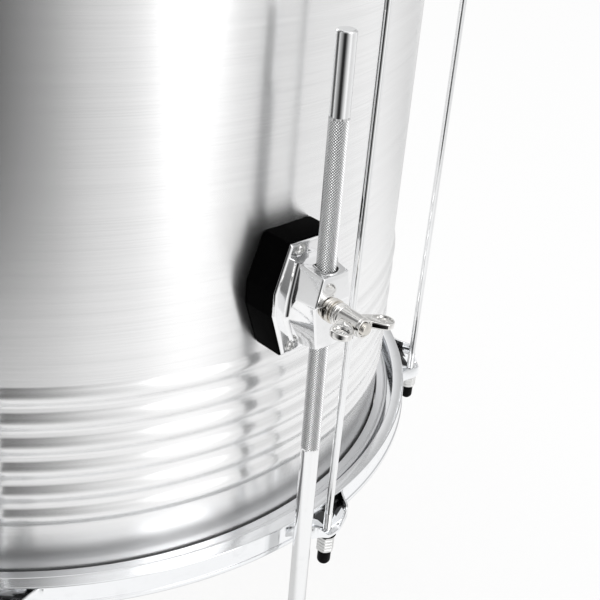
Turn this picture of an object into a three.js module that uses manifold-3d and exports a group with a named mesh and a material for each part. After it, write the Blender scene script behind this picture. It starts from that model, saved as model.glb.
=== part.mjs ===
// Surdo: a deep bass drum with an aluminium shell, standing on three adjustable legs.
// Lengths are in millimetres and +Z is up. The origin is on the floor, under the middle of the
// whole drum, and the drum's axis stands a little behind it. The first leg is at the front,
// towards -Y. Angles about the axis are counted from there towards +X. An inset is counted
// inboard from a shell edge, and a reach or standoff is counted outwards from the shell or hoop.

import * as THREE from 'three';
import { mergeVertices } from 'three/addons/utils/BufferGeometryUtils.js';
import { ConvexGeometry } from 'three/addons/geometries/ConvexGeometry.js';
import Module from 'manifold-3d';

const wasm = await Module();
wasm.setup();

// Fits shared by all pieces
const seat_gap = 0.3;
const overrun = 4;

// Facets around the round pieces
const ring_segments = 40;
const leg_segments = 16;
const fastener_segments = 10;
const rod_segments = 8;

// Shell: a rolled sheet with a band of pressed beads near each edge
const shell_radius = 279.4;
const shell_depth = 600;
const shell_wall = 1.6;
const shell_lift = 180;
const bead_count = 6;
const bead_margin = 48;
const bead_pitch = 18.1;
const bead_height = 12.4;
const bead_rise = 2;
const bead_crest_share = 0.52;

// Heads: a film over each edge, with its collar tucked in a flesh hoop
const head_film = 0.8;
const head_collar = 7;
const flesh_edge_offset = 3;
const flesh_width = 9.6;
const flesh_height = 9;
const flesh_shoulder = 1.3;

// Counterhoops: a wall with a lip, a pressing flange and a rolled outer edge
const hoop_standoff = 24;
const hoop_overhang = 0.6;
const hoop_wall = 1.6;
const hoop_height = 17.8;
const hoop_lip_width = 9.2;
const hoop_lip_round = 0.6;
const hoop_roll_height = 3.8;
const hoop_roll_rise = 0.8;

// Claws: pressed boats on the hoop's wall, one at each rod
const claw_half_length = 33;
const claw_shoulder_half_length = 22;
const claw_nose_half_width = 7.5;
const claw_reach = 20;
const claw_shoulder_reach = 11.5;
const claw_nose_reach = 18;
const claw_sheet = 1.5;
const claw_end_inset = 1;
const claw_end_height = 14.6;
const claw_floor_height = 3.9;
const claw_rim = 1.2;
const claw_slope_start = 5;
const claw_root_shares = [1, 0.5, 0, -0.5, -1];
const claw_root_depth_share = 0.2;

// Tension rods with their washers, nuts and end caps
const rod_count = 8;
const rod_turn_deg = 5.9;
const rod_standoff = 10.2;
const rod_shank_radius = 2.65;
const rod_thread_radius = 3;
const rod_thread_length = 40;
const rod_head_radius = 5;
const rod_head_height = 5.5;
const rod_overhang = 21;
const washer_radius = 7;
const washer_thickness = 2.7;
const nut_across_flats = 11.6;
const nut_height = 13.4;
const nut_sides = 6;
const cap_radius = 4.8;
const cap_height = 12.6;
const cap_round = 2.4;

// Legs: a knurled rod with a rubber foot, leaning in at the top so that the feet stand wider
const leg_count = 3;
const leg_radius = 6.35;
const leg_length = 545;
const leg_standoff = 36.6;
const leg_splay_deg = 1;
const leg_chamfer = 1.2;
const knurl_offset = 52;
const knurl_length = 228;
const knurl_depth = 0.15;
const foot_sole = 6;
const foot_height = 38;
const foot_radius = 15;
const foot_neck_radius = 10.5;
const foot_tread_height = 9;

// Leg brackets: a thick pad, a cast plate with a boss, a clamping stud and its wing nut
const bracket_height = 200.1;
const pad_thickness = 21.3;
const pad_half_width = 29.5;
const pad_half_height = 39.5;
const pad_top_half_width = 18.9;
const pad_side_half_height = 8.1;
const plate_thickness = 1.8;
const boss_front = 45.6;
const boss_top_half_width = 10.9;
const boss_waist_half_width = 15.2;
const boss_foot_half_width = 10.4;
const boss_top = 22.2;
const boss_waist = 3.6;
const boss_foot = 26.5;
const boss_root_top = 26.5;
const boss_root_flare = 11.4;
const boss_root_foot = 30.4;
const boss_root_top_half_width = 13;
const boss_root_flare_half_width = 18.6;
const boss_root_foot_half_width = 11;
const stud_radius = 3;
const stud_reach = 75.5;
const stud_drop = 1.6;
const collar_radius = 8;
const collar_thickness = 2.2;
const spring_collar_radius = 6.4;
const spring_collar_thickness = 2.4;
const wing_hub_radius = 5.6;
const wing_hub_tip_radius = 5.1;
const wing_hub_length = 22.4;
const wing_spread = 18.2;
const wing_sweep = 20.4;
const wing_lobe_radius = 7.2;
const wing_thickness = 4.6;
const wing_root_back = 4;
const wing_root_front = 16;
const wing_turn_deg = -7;

// Levels and radii that follow from the sizes above
const shell_bottom = shell_lift;
const shell_top = shell_lift + shell_depth;
const head_outer_radius = shell_radius + seat_gap + head_film;
const flesh_inner_radius = head_outer_radius + seat_gap;
const flesh_outer_radius = flesh_inner_radius + flesh_width;
const hoop_radius = shell_radius + hoop_standoff;
const hoop_inner_radius = hoop_radius - hoop_wall;
const hoop_flange_top = hoop_overhang + flesh_edge_offset - seat_gap;
const rod_circle = hoop_radius + rod_standoff;
const rod_hole_radius = rod_thread_radius + seat_gap;
const claw_floor_inset = claw_floor_height - hoop_overhang;
const claw_floor_top = claw_floor_height + claw_sheet;
const washer_inset = claw_floor_inset - seat_gap;
const nut_inset = washer_inset - washer_thickness - seat_gap;
const cap_inset = nut_inset - nut_height - seat_gap;
const bracket_z = shell_bottom + bracket_height;
const pad_front = seat_gap + pad_thickness;
const plate_back = pad_front + seat_gap;
const plate_front = plate_back + plate_thickness;
const leg_circle = shell_radius + leg_standoff;
const leg_splay = THREE.MathUtils.degToRad(leg_splay_deg);
const foot_circle = leg_circle + (bracket_z - foot_sole - seat_gap) * Math.tan(leg_splay);
const leg_hole_radius = leg_radius + seat_gap;
const stud_root = leg_standoff + leg_hole_radius;
const collar_back = boss_front + seat_gap;
const spring_collar_back = collar_back + collar_thickness;
const wing_back = spring_collar_back + spring_collar_thickness + seat_gap;

const chrome = { color: 0xd9dce0, roughness: 0.1, metalness: 1 };
const brushed = { color: 0xc6c9cc, roughness: 0.35, metalness: 1 };
const zinc = { color: 0xbfc2c4, roughness: 0.3, metalness: 1 };
const rubber = { color: 0x141414, roughness: 0.7, metalness: 0 };
const film = { color: 0xe9e7e0, roughness: 0.5, metalness: 0 };

const surdo = new THREE.Group();

// Adds a named mesh with a material of its own to a parent group
function addPiece(parent, name, geometry, finish) {
  const mesh = new THREE.Mesh(geometry, new THREE.MeshStandardMaterial(finish));
  mesh.name = name;
  parent.add(mesh);
  return mesh;
}

// Turns a closed outline of [radius, height] pairs about the Z axis
function turned(outline, segments) {
  const points = outline.map(([radius, height]) => new THREE.Vector2(radius, height));
  return new THREE.LatheGeometry(points, segments).rotateX(Math.PI / 2);
}

// Closes an outline on itself, for rings that the axis doesn't pierce
function closed(outline) {
  return [...outline, outline[0]];
}

// Raises a flat outline of [x, y] pairs, with optional round holes, along +Z
function raised(outline, height, holes = [], hole_sides = fastener_segments) {
  const shape = new THREE.Shape(outline.map(([x, y]) => new THREE.Vector2(x, y)));
  for (const [x, y, radius] of holes) {
    const hole = new THREE.Path();
    hole.absarc(x, y, radius, 0, 2 * Math.PI, true);
    shape.holes.push(hole);
  }
  const steps = Math.ceil(hole_sides / 2);
  return new THREE.ExtrudeGeometry(shape, { depth: height, bevelEnabled: false, curveSegments: steps });
}

// Mirrors half an outline of [across, up] pairs about the line where across is zero
function mirrored(half) {
  return [...half, ...half.map(([across, up]) => [-across, up]).reverse()];
}

// Makes a solid for joining and cutting from a closed geometry
function toSolid(geometry) {
  const bare = geometry.clone();
  bare.deleteAttribute('normal');
  bare.deleteAttribute('uv');
  const merged = mergeVertices(bare);
  const source = merged.index.array;
  const triangles = [];
  for (let i = 0; i < source.length; i += 3) {
    const [a, b, c] = [source[i], source[i + 1], source[i + 2]];
    if (a !== b && b !== c && c !== a) triangles.push(a, b, c);
  }
  const mesh = new wasm.Mesh({
    numProp: 3,
    vertProperties: new Float32Array(merged.attributes.position.array),
    triVerts: new Uint32Array(triangles),
  });
  return new wasm.Manifold(mesh);
}

// Gives the geometry of a joined or cut solid
function toGeometry(solid) {
  const mesh = solid.getMesh();
  const geometry = new THREE.BufferGeometry();
  geometry.setAttribute('position', new THREE.BufferAttribute(new Float32Array(mesh.vertProperties), 3));
  geometry.setIndex(new THREE.BufferAttribute(new Uint32Array(mesh.triVerts), 1));
  geometry.computeVertexNormals();
  return geometry;
}

// Angle about Z, in radians, of a place counted from the front towards +X
function bearing(degrees) {
  return THREE.MathUtils.degToRad(degrees - 90);
}

// Angle of a tension rod and of a leg about the drum's axis
function rodBearing(i) {
  return bearing(rod_turn_deg + i * 360 / rod_count);
}

function legBearing(i) {
  return bearing(i * 360 / leg_count);
}

// Shell outline: up the beaded outer face and down the smooth inner face
function shellOutline() {
  const shoulder = (1 - bead_crest_share) / 2;
  const crest = shell_radius + bead_rise;
  const band = [];
  for (let i = 0; i < bead_count; i += 1) {
    const foot = bead_margin + i * bead_pitch;
    band.push([shell_radius, foot]);
    band.push([crest, foot + shoulder * bead_height]);
    band.push([crest, foot + (1 - shoulder) * bead_height]);
    band.push([shell_radius, foot + bead_height]);
  }
  const upper_band = band.map(([radius, height]) => [radius, shell_depth - height]).reverse();
  const bore = shell_radius - shell_wall;
  return closed([[bore, 0], [shell_radius, 0], ...band, ...upper_band, [shell_radius, shell_depth],
    [bore, shell_depth]]);
}

// Head outline above its shell edge at zero: a flat film whose collar wraps the shell from below
function headOutline() {
  const under = -seat_gap - head_film;
  const skin = shell_radius + seat_gap;
  return [[0, under], [head_outer_radius, under], [head_outer_radius, head_collar], [skin, head_collar],
    [skin, -seat_gap], [0, -seat_gap]];
}

// Flesh hoop outline above the shell edge, with sloping shoulders
function fleshOutline() {
  const low = flesh_edge_offset;
  const high = flesh_edge_offset + flesh_height;
  const sloped = high - flesh_shoulder;
  return closed([[flesh_inner_radius, low], [flesh_outer_radius, low], [flesh_outer_radius, sloped],
    [flesh_outer_radius - flesh_shoulder, high], [flesh_inner_radius + flesh_shoulder, high],
    [flesh_inner_radius, sloped]]);
}

// Counterhoop outline above its own outer edge at zero
function hoopOutline() {
  const rolled = hoop_radius + hoop_roll_rise;
  const lip_radius = hoop_radius - hoop_lip_width;
  const lip_under = hoop_height - hoop_wall;
  const flange_under = hoop_flange_top - hoop_wall;
  return closed([
    [hoop_inner_radius, 0], [rolled, 0], [rolled, hoop_roll_height - hoop_roll_rise],
    [hoop_radius, hoop_roll_height], [hoop_radius, hoop_height - hoop_lip_round],
    [hoop_radius - hoop_lip_round, hoop_height], [lip_radius + hoop_lip_round, hoop_height],
    [lip_radius, hoop_height - hoop_lip_round], [lip_radius, lip_under], [hoop_inner_radius, lip_under],
    [hoop_inner_radius, hoop_flange_top], [flesh_inner_radius, hoop_flange_top],
    [flesh_inner_radius, flange_under], [hoop_inner_radius, flange_under],
  ]);
}

// A prism whose section in the XZ plane is given, centred on the X axis
function sidePrism(section, width) {
  return raised(section, width).rotateX(Math.PI / 2).translate(0, width / 2, 0);
}

// Plan of a claw, drawn in by a margin on every outer side and rooted in the hoop's wall
function clawPlan(margin) {
  const spread = Math.asin(claw_half_length / hoop_radius) - margin / hoop_radius;
  const root_radius = hoop_inner_radius + claw_root_depth_share * hoop_wall;
  const root = claw_root_shares.map((share) => {
    const angle = share * spread;
    return [root_radius * Math.cos(angle), root_radius * Math.sin(angle)];
  });
  const shoulder = hoop_radius + claw_shoulder_reach - margin;
  const shoulder_half = claw_shoulder_half_length - margin / 2;
  const corner = hoop_radius + claw_nose_reach - margin;
  return [...root, [shoulder, -shoulder_half], [corner, -claw_nose_half_width],
    [hoop_radius + claw_reach - margin, 0], [corner, claw_nose_half_width], [shoulder, shoulder_half]];
}

// One claw on the X axis: a boat with a pierced floor and a rim that falls to the nose
function clawSolid() {
  const top = hoop_height - claw_end_inset;
  const low = top - claw_end_height;
  const hull = toSolid(raised(clawPlan(0), claw_end_height).translate(0, 0, low));
  const hold = toSolid(raised(clawPlan(claw_sheet), claw_end_height).translate(0, 0, claw_floor_top));
  const hollow = toSolid(raised(clawPlan(claw_sheet), claw_end_height)
    .translate(0, 0, claw_floor_height - claw_end_height));
  const start = hoop_radius + claw_slope_start;
  const end = hoop_radius + claw_reach + overrun;
  const width = 2 * (claw_half_length + overrun);
  const rim_cut = toSolid(sidePrism([[start, top], [end, claw_floor_top + claw_rim], [end, top + overrun],
    [start, top + overrun]], width));
  const keel_cut = toSolid(sidePrism([[start, low], [start, low - overrun], [end, low - overrun],
    [end, claw_floor_height - claw_rim]], width));
  const hole = toSolid(turned([[0, low - overrun], [rod_hole_radius, low - overrun],
    [rod_hole_radius, top + overrun], [0, top + overrun]], rod_segments).translate(rod_circle, 0, 0));
  return hull.subtract(hold).subtract(hollow).subtract(rim_cut).subtract(keel_cut).subtract(hole);
}

// Counterhoop with a claw at every rod; side is -1 where the hoop is going to be turned over
function hoopGeometry(side) {
  let hoop = toSolid(turned(hoopOutline(), ring_segments));
  const claw = clawSolid();
  for (let i = 0; i < rod_count; i += 1) {
    hoop = hoop.add(claw.rotate([0, 0, side * THREE.MathUtils.radToDeg(rodBearing(i))]));
  }
  return toGeometry(hoop);
}

// Rings of one end, in a group whose zero is the shell edge and whose +Z points into the drum
function drumEnd(end_name, side) {
  const end = new THREE.Group();
  addPiece(end, `${end_name}_head`, turned(headOutline(), ring_segments), film);
  addPiece(end, `${end_name}_flesh_hoop`, turned(fleshOutline(), ring_segments), brushed);
  const hoop = addPiece(end, `${end_name}_counterhoop`, hoopGeometry(side), chrome);
  hoop.position.z = -hoop_overhang;
  return end;
}

// Tension rod outline from its threaded end at zero to its head
function rodOutline() {
  const neck = rod_overhang + shell_depth - claw_floor_inset + seat_gap;
  return [[0, 0], [rod_thread_radius, 0], [rod_thread_radius, rod_thread_length],
    [rod_shank_radius, rod_thread_length + rod_thread_radius - rod_shank_radius], [rod_shank_radius, neck],
    [rod_head_radius, neck], [rod_head_radius, neck + rod_head_height], [0, neck + rod_head_height]];
}

// Washer outline with its upper face at zero
function washerOutline() {
  return closed([[rod_hole_radius, -washer_thickness], [washer_radius, -washer_thickness],
    [washer_radius, 0], [rod_hole_radius, 0]]);
}

// Six-sided nut with its lower face at zero
function nutGeometry() {
  const step = 2 * Math.PI / nut_sides;
  const corner = nut_across_flats / 2 / Math.cos(step / 2);
  const outline = [];
  for (let i = 0; i < nut_sides; i += 1) {
    const angle = i * step;
    outline.push([corner * Math.cos(angle), corner * Math.sin(angle)]);
  }
  return raised(outline, nut_height, [[0, 0, rod_hole_radius]], rod_segments);
}

// Cap outline, open at the top, with a round lower end at zero
function capOutline() {
  const pocket_floor = cap_height - cap_inset - rod_overhang - seat_gap;
  return [[0, 0], [cap_radius - cap_round, 0], [cap_radius, cap_round], [cap_radius, cap_height],
    [rod_hole_radius, cap_height], [rod_hole_radius, pocket_floor], [0, pocket_floor]];
}

// One tension rod with the pieces on its lower end
function tensionRod(i) {
  const name = i + 1;
  const group = new THREE.Group();
  const rod = addPiece(group, `tension_rod_${name}`, turned(rodOutline(), rod_segments), chrome);
  rod.position.z = shell_bottom - rod_overhang;
  const washer = addPiece(group, `washer_${name}`, turned(washerOutline(), fastener_segments), rubber);
  washer.position.z = shell_bottom + washer_inset;
  const nut = addPiece(group, `tension_nut_${name}`, nutGeometry(), zinc);
  nut.position.z = shell_bottom + nut_inset - nut_height;
  const cap = addPiece(group, `end_cap_${name}`, turned(capOutline(), fastener_segments), rubber);
  cap.position.z = shell_bottom + cap_inset - cap_height;
  const angle = rodBearing(i);
  group.position.set(rod_circle * Math.cos(angle), rod_circle * Math.sin(angle), 0);
  group.rotation.z = angle;
  return group;
}

// Raises an outline of [across, up] pairs outwards along +X, from zero
function faced(outline, depth) {
  const across = new THREE.Vector3(0, 1, 0);
  const up = new THREE.Vector3(0, 0, 1);
  const outwards = new THREE.Vector3(1, 0, 0);
  return raised(outline, depth).applyMatrix4(new THREE.Matrix4().makeBasis(across, up, outwards));
}

// Turns an outline of [radius, outwards] pairs about the X axis
function turnedOutwards(outline, segments) {
  return turned(outline, segments).rotateY(Math.PI / 2);
}

// Eight-sided outline of a bracket's pad and plate
function padOutline() {
  return mirrored([[pad_top_half_width, -pad_half_height], [pad_half_width, -pad_side_half_height],
    [pad_half_width, pad_side_half_height], [pad_top_half_width, pad_half_height]]);
}

// Thick pad whose back follows the shell; the shell's facets are turned back by the leg's angle
function padGeometry(angle) {
  const block = toSolid(faced(padOutline(), pad_front + overrun).translate(shell_radius - overrun, 0, 0));
  const reach = pad_half_height + overrun;
  const hugged = shell_radius + seat_gap;
  const drum = toSolid(turned([[0, -reach], [hugged, -reach], [hugged, reach], [0, reach]], ring_segments)
    .rotateZ(-angle));
  return toGeometry(block.subtract(drum));
}

// Cast plate with a boss that the leg passes down through and the stud comes out of
function castingGeometry() {
  const plate = toSolid(faced(padOutline(), plate_thickness).translate(shell_radius + plate_back, 0, 0));
  const root = shell_radius + plate_front - plate_thickness / 2;
  const front = shell_radius + boss_front;
  const corners = [];
  for (const side of [-1, 1]) {
    corners.push(new THREE.Vector3(root, side * boss_root_top_half_width, boss_root_top));
    corners.push(new THREE.Vector3(root, side * boss_root_flare_half_width, -boss_root_flare));
    corners.push(new THREE.Vector3(root, side * boss_root_foot_half_width, -boss_root_foot));
    corners.push(new THREE.Vector3(front, side * boss_top_half_width, boss_top));
    corners.push(new THREE.Vector3(front, side * boss_waist_half_width, boss_waist));
    corners.push(new THREE.Vector3(front, side * boss_foot_half_width, -boss_foot));
  }
  const boss = toSolid(new ConvexGeometry(corners));
  const reach = pad_half_height + overrun;
  const leg_hole = toSolid(turned([[0, -reach], [leg_hole_radius, -reach], [leg_hole_radius, reach],
    [0, reach]], leg_segments).rotateY(-leg_splay).translate(leg_circle, 0, 0));
  const stud_hole_radius = stud_radius + seat_gap;
  const stud_hole = toSolid(turnedOutwards([[0, 0], [stud_hole_radius, 0],
    [stud_hole_radius, boss_front - leg_standoff + overrun], [0, boss_front - leg_standoff + overrun]],
  fastener_segments).translate(leg_circle, 0, -stud_drop));
  return toGeometry(plate.add(boss).subtract(leg_hole).subtract(stud_hole));
}

// Clamping stud outline with its washer and spring washer, counted outwards from the shell
function studOutline() {
  const spring_collar_front = spring_collar_back + spring_collar_thickness;
  return [[0, stud_root], [stud_radius, stud_root], [stud_radius, collar_back], [collar_radius, collar_back],
    [collar_radius, spring_collar_back], [spring_collar_radius, spring_collar_back],
    [spring_collar_radius, spring_collar_front], [stud_radius, spring_collar_front],
    [stud_radius, stud_reach], [0, stud_reach]];
}

// Wing nut on the X axis with its back at zero: a hub with two swept, round-ended wings
function wingNutGeometry() {
  let nut = toSolid(turnedOutwards([[0, 0], [wing_hub_radius, 0], [wing_hub_tip_radius, wing_hub_length],
    [0, wing_hub_length]], fastener_segments));
  for (const side of [-1, 1]) {
    const points = [];
    for (const face of [-wing_thickness / 2, wing_thickness / 2]) {
      points.push(new THREE.Vector3(wing_root_back, 0, face), new THREE.Vector3(wing_root_front, 0, face));
      for (let i = 0; i < fastener_segments; i += 1) {
        const angle = i * 2 * Math.PI / fastener_segments;
        points.push(new THREE.Vector3(wing_sweep + wing_lobe_radius * Math.cos(angle),
          side * wing_spread + wing_lobe_radius * Math.sin(angle), face));
      }
    }
    nut = nut.add(toSolid(new ConvexGeometry(points)));
  }
  const bore = stud_radius + seat_gap;
  const hole = toSolid(turnedOutwards([[0, -overrun], [bore, -overrun], [bore, wing_hub_length + overrun],
    [0, wing_hub_length + overrun]], fastener_segments));
  return toGeometry(nut.subtract(hole));
}

// Leg outline from its lower end at zero, a little thicker where it is knurled
function legOutline() {
  const plain = leg_radius - knurl_depth;
  const knurl_top = leg_length - knurl_offset;
  const knurl_bottom = knurl_top - knurl_length;
  return [[0, 0], [plain, 0], [plain, knurl_bottom - knurl_depth], [leg_radius, knurl_bottom],
    [leg_radius, knurl_top], [plain, knurl_top + knurl_depth], [plain, leg_length - leg_chamfer],
    [plain - leg_chamfer, leg_length], [0, leg_length]];
}

// Rubber foot that stands upright, with a leaning socket for the leg over its closed sole
function footGeometry() {
  const body = toSolid(turned([[0, 0], [foot_radius, 0], [foot_radius, foot_tread_height],
    [foot_neck_radius, foot_height], [0, foot_height]], leg_segments));
  const socket = toSolid(turned([[0, 0], [leg_hole_radius, 0], [leg_hole_radius, foot_height],
    [0, foot_height]], leg_segments).rotateY(-leg_splay).translate(0, 0, foot_sole));
  return toGeometry(body.subtract(socket));
}

// One leg with its bracket, in a group whose +X points away from the drum's axis
function legSet(i) {
  const name = i + 1;
  const angle = legBearing(i);
  const group = new THREE.Group();
  const bracket = new THREE.Group();
  bracket.position.z = bracket_z;
  addPiece(bracket, `bracket_pad_${name}`, padGeometry(angle), rubber);
  addPiece(bracket, `bracket_casting_${name}`, castingGeometry(), chrome);
  const stud_shape = turnedOutwards(studOutline(), fastener_segments);
  const stud = addPiece(bracket, `clamp_stud_${name}`, stud_shape, zinc);
  stud.position.set(shell_radius, 0, -stud_drop);
  const wing_nut = addPiece(bracket, `wing_nut_${name}`, wingNutGeometry(), chrome);
  wing_nut.position.set(shell_radius + wing_back, 0, -stud_drop);
  wing_nut.rotation.x = THREE.MathUtils.degToRad(wing_turn_deg);
  group.add(bracket);
  const leg = addPiece(group, `leg_${name}`, turned(legOutline(), leg_segments), chrome);
  leg.position.set(foot_circle, 0, foot_sole + seat_gap);
  leg.rotation.y = -leg_splay;
  const foot = addPiece(group, `rubber_foot_${name}`, footGeometry(), rubber);
  foot.position.x = foot_circle;
  group.rotation.z = angle;
  return group;
}

const drum = new THREE.Group();
const shell = addPiece(drum, 'shell', turned(shellOutline(), ring_segments), brushed);
shell.position.z = shell_bottom;
const bottom = drumEnd('bottom', 1);
bottom.position.z = shell_bottom;
drum.add(bottom);
const top = drumEnd('top', -1);
top.position.z = shell_top;
top.rotation.x = Math.PI;
drum.add(top);
for (let i = 0; i < rod_count; i += 1) drum.add(tensionRod(i));
for (let i = 0; i < leg_count; i += 1) drum.add(legSet(i));
surdo.add(drum);

// The front bracket reaches out furthest, so the drum is set back until the origin is under its middle
const reach = new THREE.Box3().setFromObject(surdo, true);
drum.position.x = -(reach.min.x + reach.max.x) / 2;
drum.position.y = -(reach.min.y + reach.max.y) / 2;

export default surdo;
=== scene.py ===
"""Looks of a surdo: a beaded aluminium bass drum on three knurled legs.

Shapes are worked out in millimetres about the drum's axis, with +Z up, and are seated in the
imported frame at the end. A bearing is an angle about that axis from the first leg at the front,
towards +X.
"""

import logging
import math
from dataclasses import dataclass
from enum import Enum
from typing import Any

import bpy
import numpy as np
from mathutils import Matrix, Vector
from numpy.typing import NDArray


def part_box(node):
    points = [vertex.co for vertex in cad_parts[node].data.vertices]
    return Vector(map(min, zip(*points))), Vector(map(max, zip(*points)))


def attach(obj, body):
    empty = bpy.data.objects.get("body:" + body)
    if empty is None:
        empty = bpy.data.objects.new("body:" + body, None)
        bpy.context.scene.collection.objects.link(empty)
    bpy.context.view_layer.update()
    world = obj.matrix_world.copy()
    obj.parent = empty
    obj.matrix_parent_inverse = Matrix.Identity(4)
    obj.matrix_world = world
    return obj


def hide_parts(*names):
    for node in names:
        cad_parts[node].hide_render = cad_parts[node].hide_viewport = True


Points = NDArray[np.float64]
Corners = NDArray[np.int64]
Colour = tuple[float, float, float]
Paint = tuple[float, float, float, float]
Span = tuple[float, float]
Tones = tuple[tuple[float, float], ...]

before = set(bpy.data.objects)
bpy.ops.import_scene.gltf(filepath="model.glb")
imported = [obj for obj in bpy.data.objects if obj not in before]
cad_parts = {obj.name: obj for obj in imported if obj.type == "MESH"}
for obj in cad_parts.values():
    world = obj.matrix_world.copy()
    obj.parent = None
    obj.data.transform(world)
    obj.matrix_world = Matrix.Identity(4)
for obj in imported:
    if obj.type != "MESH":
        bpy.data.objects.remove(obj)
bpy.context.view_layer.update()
LOG = logging.getLogger("surdo")
MM = 0.001
TURN = 2 * math.pi
SURFACE_MAP = "Surface"
# Level above which a face's UV V marks it for painted shade.
SHADE_MARK_V = 1000.0
THREAD_SLOPE = 1.5
THREAD_FLAT = 0.25
THREAD_STEPS = 5
ROD_COUNT = 8
LEG_COUNT = 3
WHITE: Paint = (1.0, 1.0, 1.0, 1.0)


def paint(colour: Colour, share: float = 1.0) -> Paint:
    """A colour at a share of its brightness, with full alpha."""
    red, green, blue = colour
    return (red * share, green * share, blue * share, 1.0)


class Bench:
    """Lays out the nodes of one tree."""

    def __init__(self, tree: bpy.types.NodeTree) -> None:
        """Keeps the tree that nodes are added to.

        Args:
            tree: The node tree of a material or of the world.
        """
        self.tree = tree

    def node(self, kind: str, settings: dict[str, Any] | None = None,
             sockets: dict[str | int, Any] | None = None) -> bpy.types.Node:
        """Adds a node, sets it up and fills its sockets.

        Args:
            kind: The node's type.
            settings: Its properties, set first; "stops" are the (place, value) pairs of a ramp.
            sockets: A value or a link for each named or numbered input.

        Returns:
            The node.
        """
        node = self.tree.nodes.new(kind)
        for name, value in (settings or {}).items():
            if name == "stops":
                self._set_stops(node, value)
            else:
                setattr(node, name, value)
        for name, value in (sockets or {}).items():
            self.fill(node.inputs[name], value)
        return node

    def fill(self, socket: bpy.types.NodeSocket, value: Any) -> None:
        """Links a signal or a socket to an input, or writes a plain value there.

        Args:
            socket: The input.
            value: A Signal, an output socket, a number, or a colour or vector.
        """
        if isinstance(value, Signal):
            value = value.socket
        if isinstance(value, bpy.types.NodeSocket):
            self.tree.links.new(value, socket)
        else:
            socket.default_value = value

    def signal(self, kind: str, settings: dict[str, Any] | None = None,
               sockets: dict[str | int, Any] | None = None, output: str | int = 0) -> "Signal":
        """Adds a node as node() does and returns one of its outputs as a Signal."""
        return Signal(self, self.node(kind, settings, sockets).outputs[output])

    def noise(self, place: Any, size: float, detail: float, roughness: float = 0.5) -> "Signal":
        """Noise over a place in metres, whose grains are about a size wide."""
        return self.signal("ShaderNodeTexNoise", None,
                           {"Vector": place, "Scale": 1 / size, "Detail": detail, "Roughness": roughness})

    def blend(self, share: Any, start: Any, end: Any) -> "Signal":
        """Colour that runs from the start at a share of 0 to the end at 1."""
        return self.signal("ShaderNodeMix", {"data_type": "RGBA"},
                           {"Factor": share, 6: start, 7: end}, output=2)

    def vector(self, operation: str, first: Any, second: Any) -> "Signal":
        """What a vector operation makes of two vectors."""
        return self.signal("ShaderNodeVectorMath", {"operation": operation}, {0: first, 1: second})

    def length(self, vector: Any) -> "Signal":
        """The length of a vector."""
        return self.signal("ShaderNodeVectorMath", {"operation": "LENGTH"}, {0: vector}, output="Value")

    def parts(self, vector: Any) -> "list[Signal]":
        """The X, Y and Z of a vector, which are U, V and 0 for a place on a map."""
        split = self.node("ShaderNodeSeparateXYZ", None, {0: vector})
        return [Signal(self, output) for output in split.outputs]

    def object_place(self) -> bpy.types.NodeSocket:
        """The place in the object's own coordinates, in metres."""
        return self.node("ShaderNodeTexCoord").outputs["Object"]

    def map_place(self) -> bpy.types.NodeSocket:
        """The place on the mesh's own UV map."""
        return self.node("ShaderNodeUVMap", {"uv_map": SURFACE_MAP}).outputs[0]

    def bump(self, shader: bpy.types.Node, height: "Signal", strength: float, distance: float) -> None:
        """Drives a shader's normal with a height whose full range is a distance in metres."""
        node = self.node("ShaderNodeBump", None,
                         {"Strength": strength, "Distance": distance, "Height": height})
        self.fill(shader.inputs["Normal"], node.outputs[0])

    @staticmethod
    def _set_stops(node: bpy.types.Node, stops: list[tuple[float, float]]) -> None:
        """Writes grey stops into a ramp node, in rising order of place."""
        elements = node.color_ramp.elements
        while len(elements) < len(stops):
            elements.new(1.0)
        for element, (place, value) in zip(elements, stops):
            element.position = place
            element.color = (value, value, value, 1.0)


class Signal:
    """A socket that takes part in Python expressions; each operator adds a Math node."""

    def __init__(self, bench: Bench, socket: bpy.types.NodeSocket) -> None:
        """Wraps an output socket.

        Args:
            bench: The bench that its nodes are laid out on.
            socket: The output socket.
        """
        self.bench = bench
        self.socket = socket

    def _math(self, operation: str, *values: Any) -> "Signal":
        """Adds a Math node that works on the given values in order."""
        return self.bench.signal("ShaderNodeMath", {"operation": operation}, dict(enumerate(values)))

    def __add__(self, other: Any) -> "Signal":
        """Sum with a signal or a number."""
        return self._math("ADD", self, other)

    def __rsub__(self, other: Any) -> "Signal":
        """A number less this signal."""
        return self._math("SUBTRACT", other, self)

    def __mul__(self, other: Any) -> "Signal":
        """Product with a signal or a number."""
        return self._math("MULTIPLY", self, other)

    def atan2(self, other: Any) -> "Signal":
        """Angle whose tangent is this signal over the other."""
        return self._math("ARCTAN2", self, other)

    def cosine(self) -> "Signal":
        """Cosine of this signal in radians."""
        return self._math("COSINE", self)

    def ramp(self, low: float, high: float) -> "Signal":
        """Rises smoothly from 0 at low to 1 at high, and stays there outside them."""
        return self.bench.signal(
            "ShaderNodeMapRange", {"interpolation_type": "SMOOTHSTEP"},
            {"Value": self, "From Min": low, "From Max": high})


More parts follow.
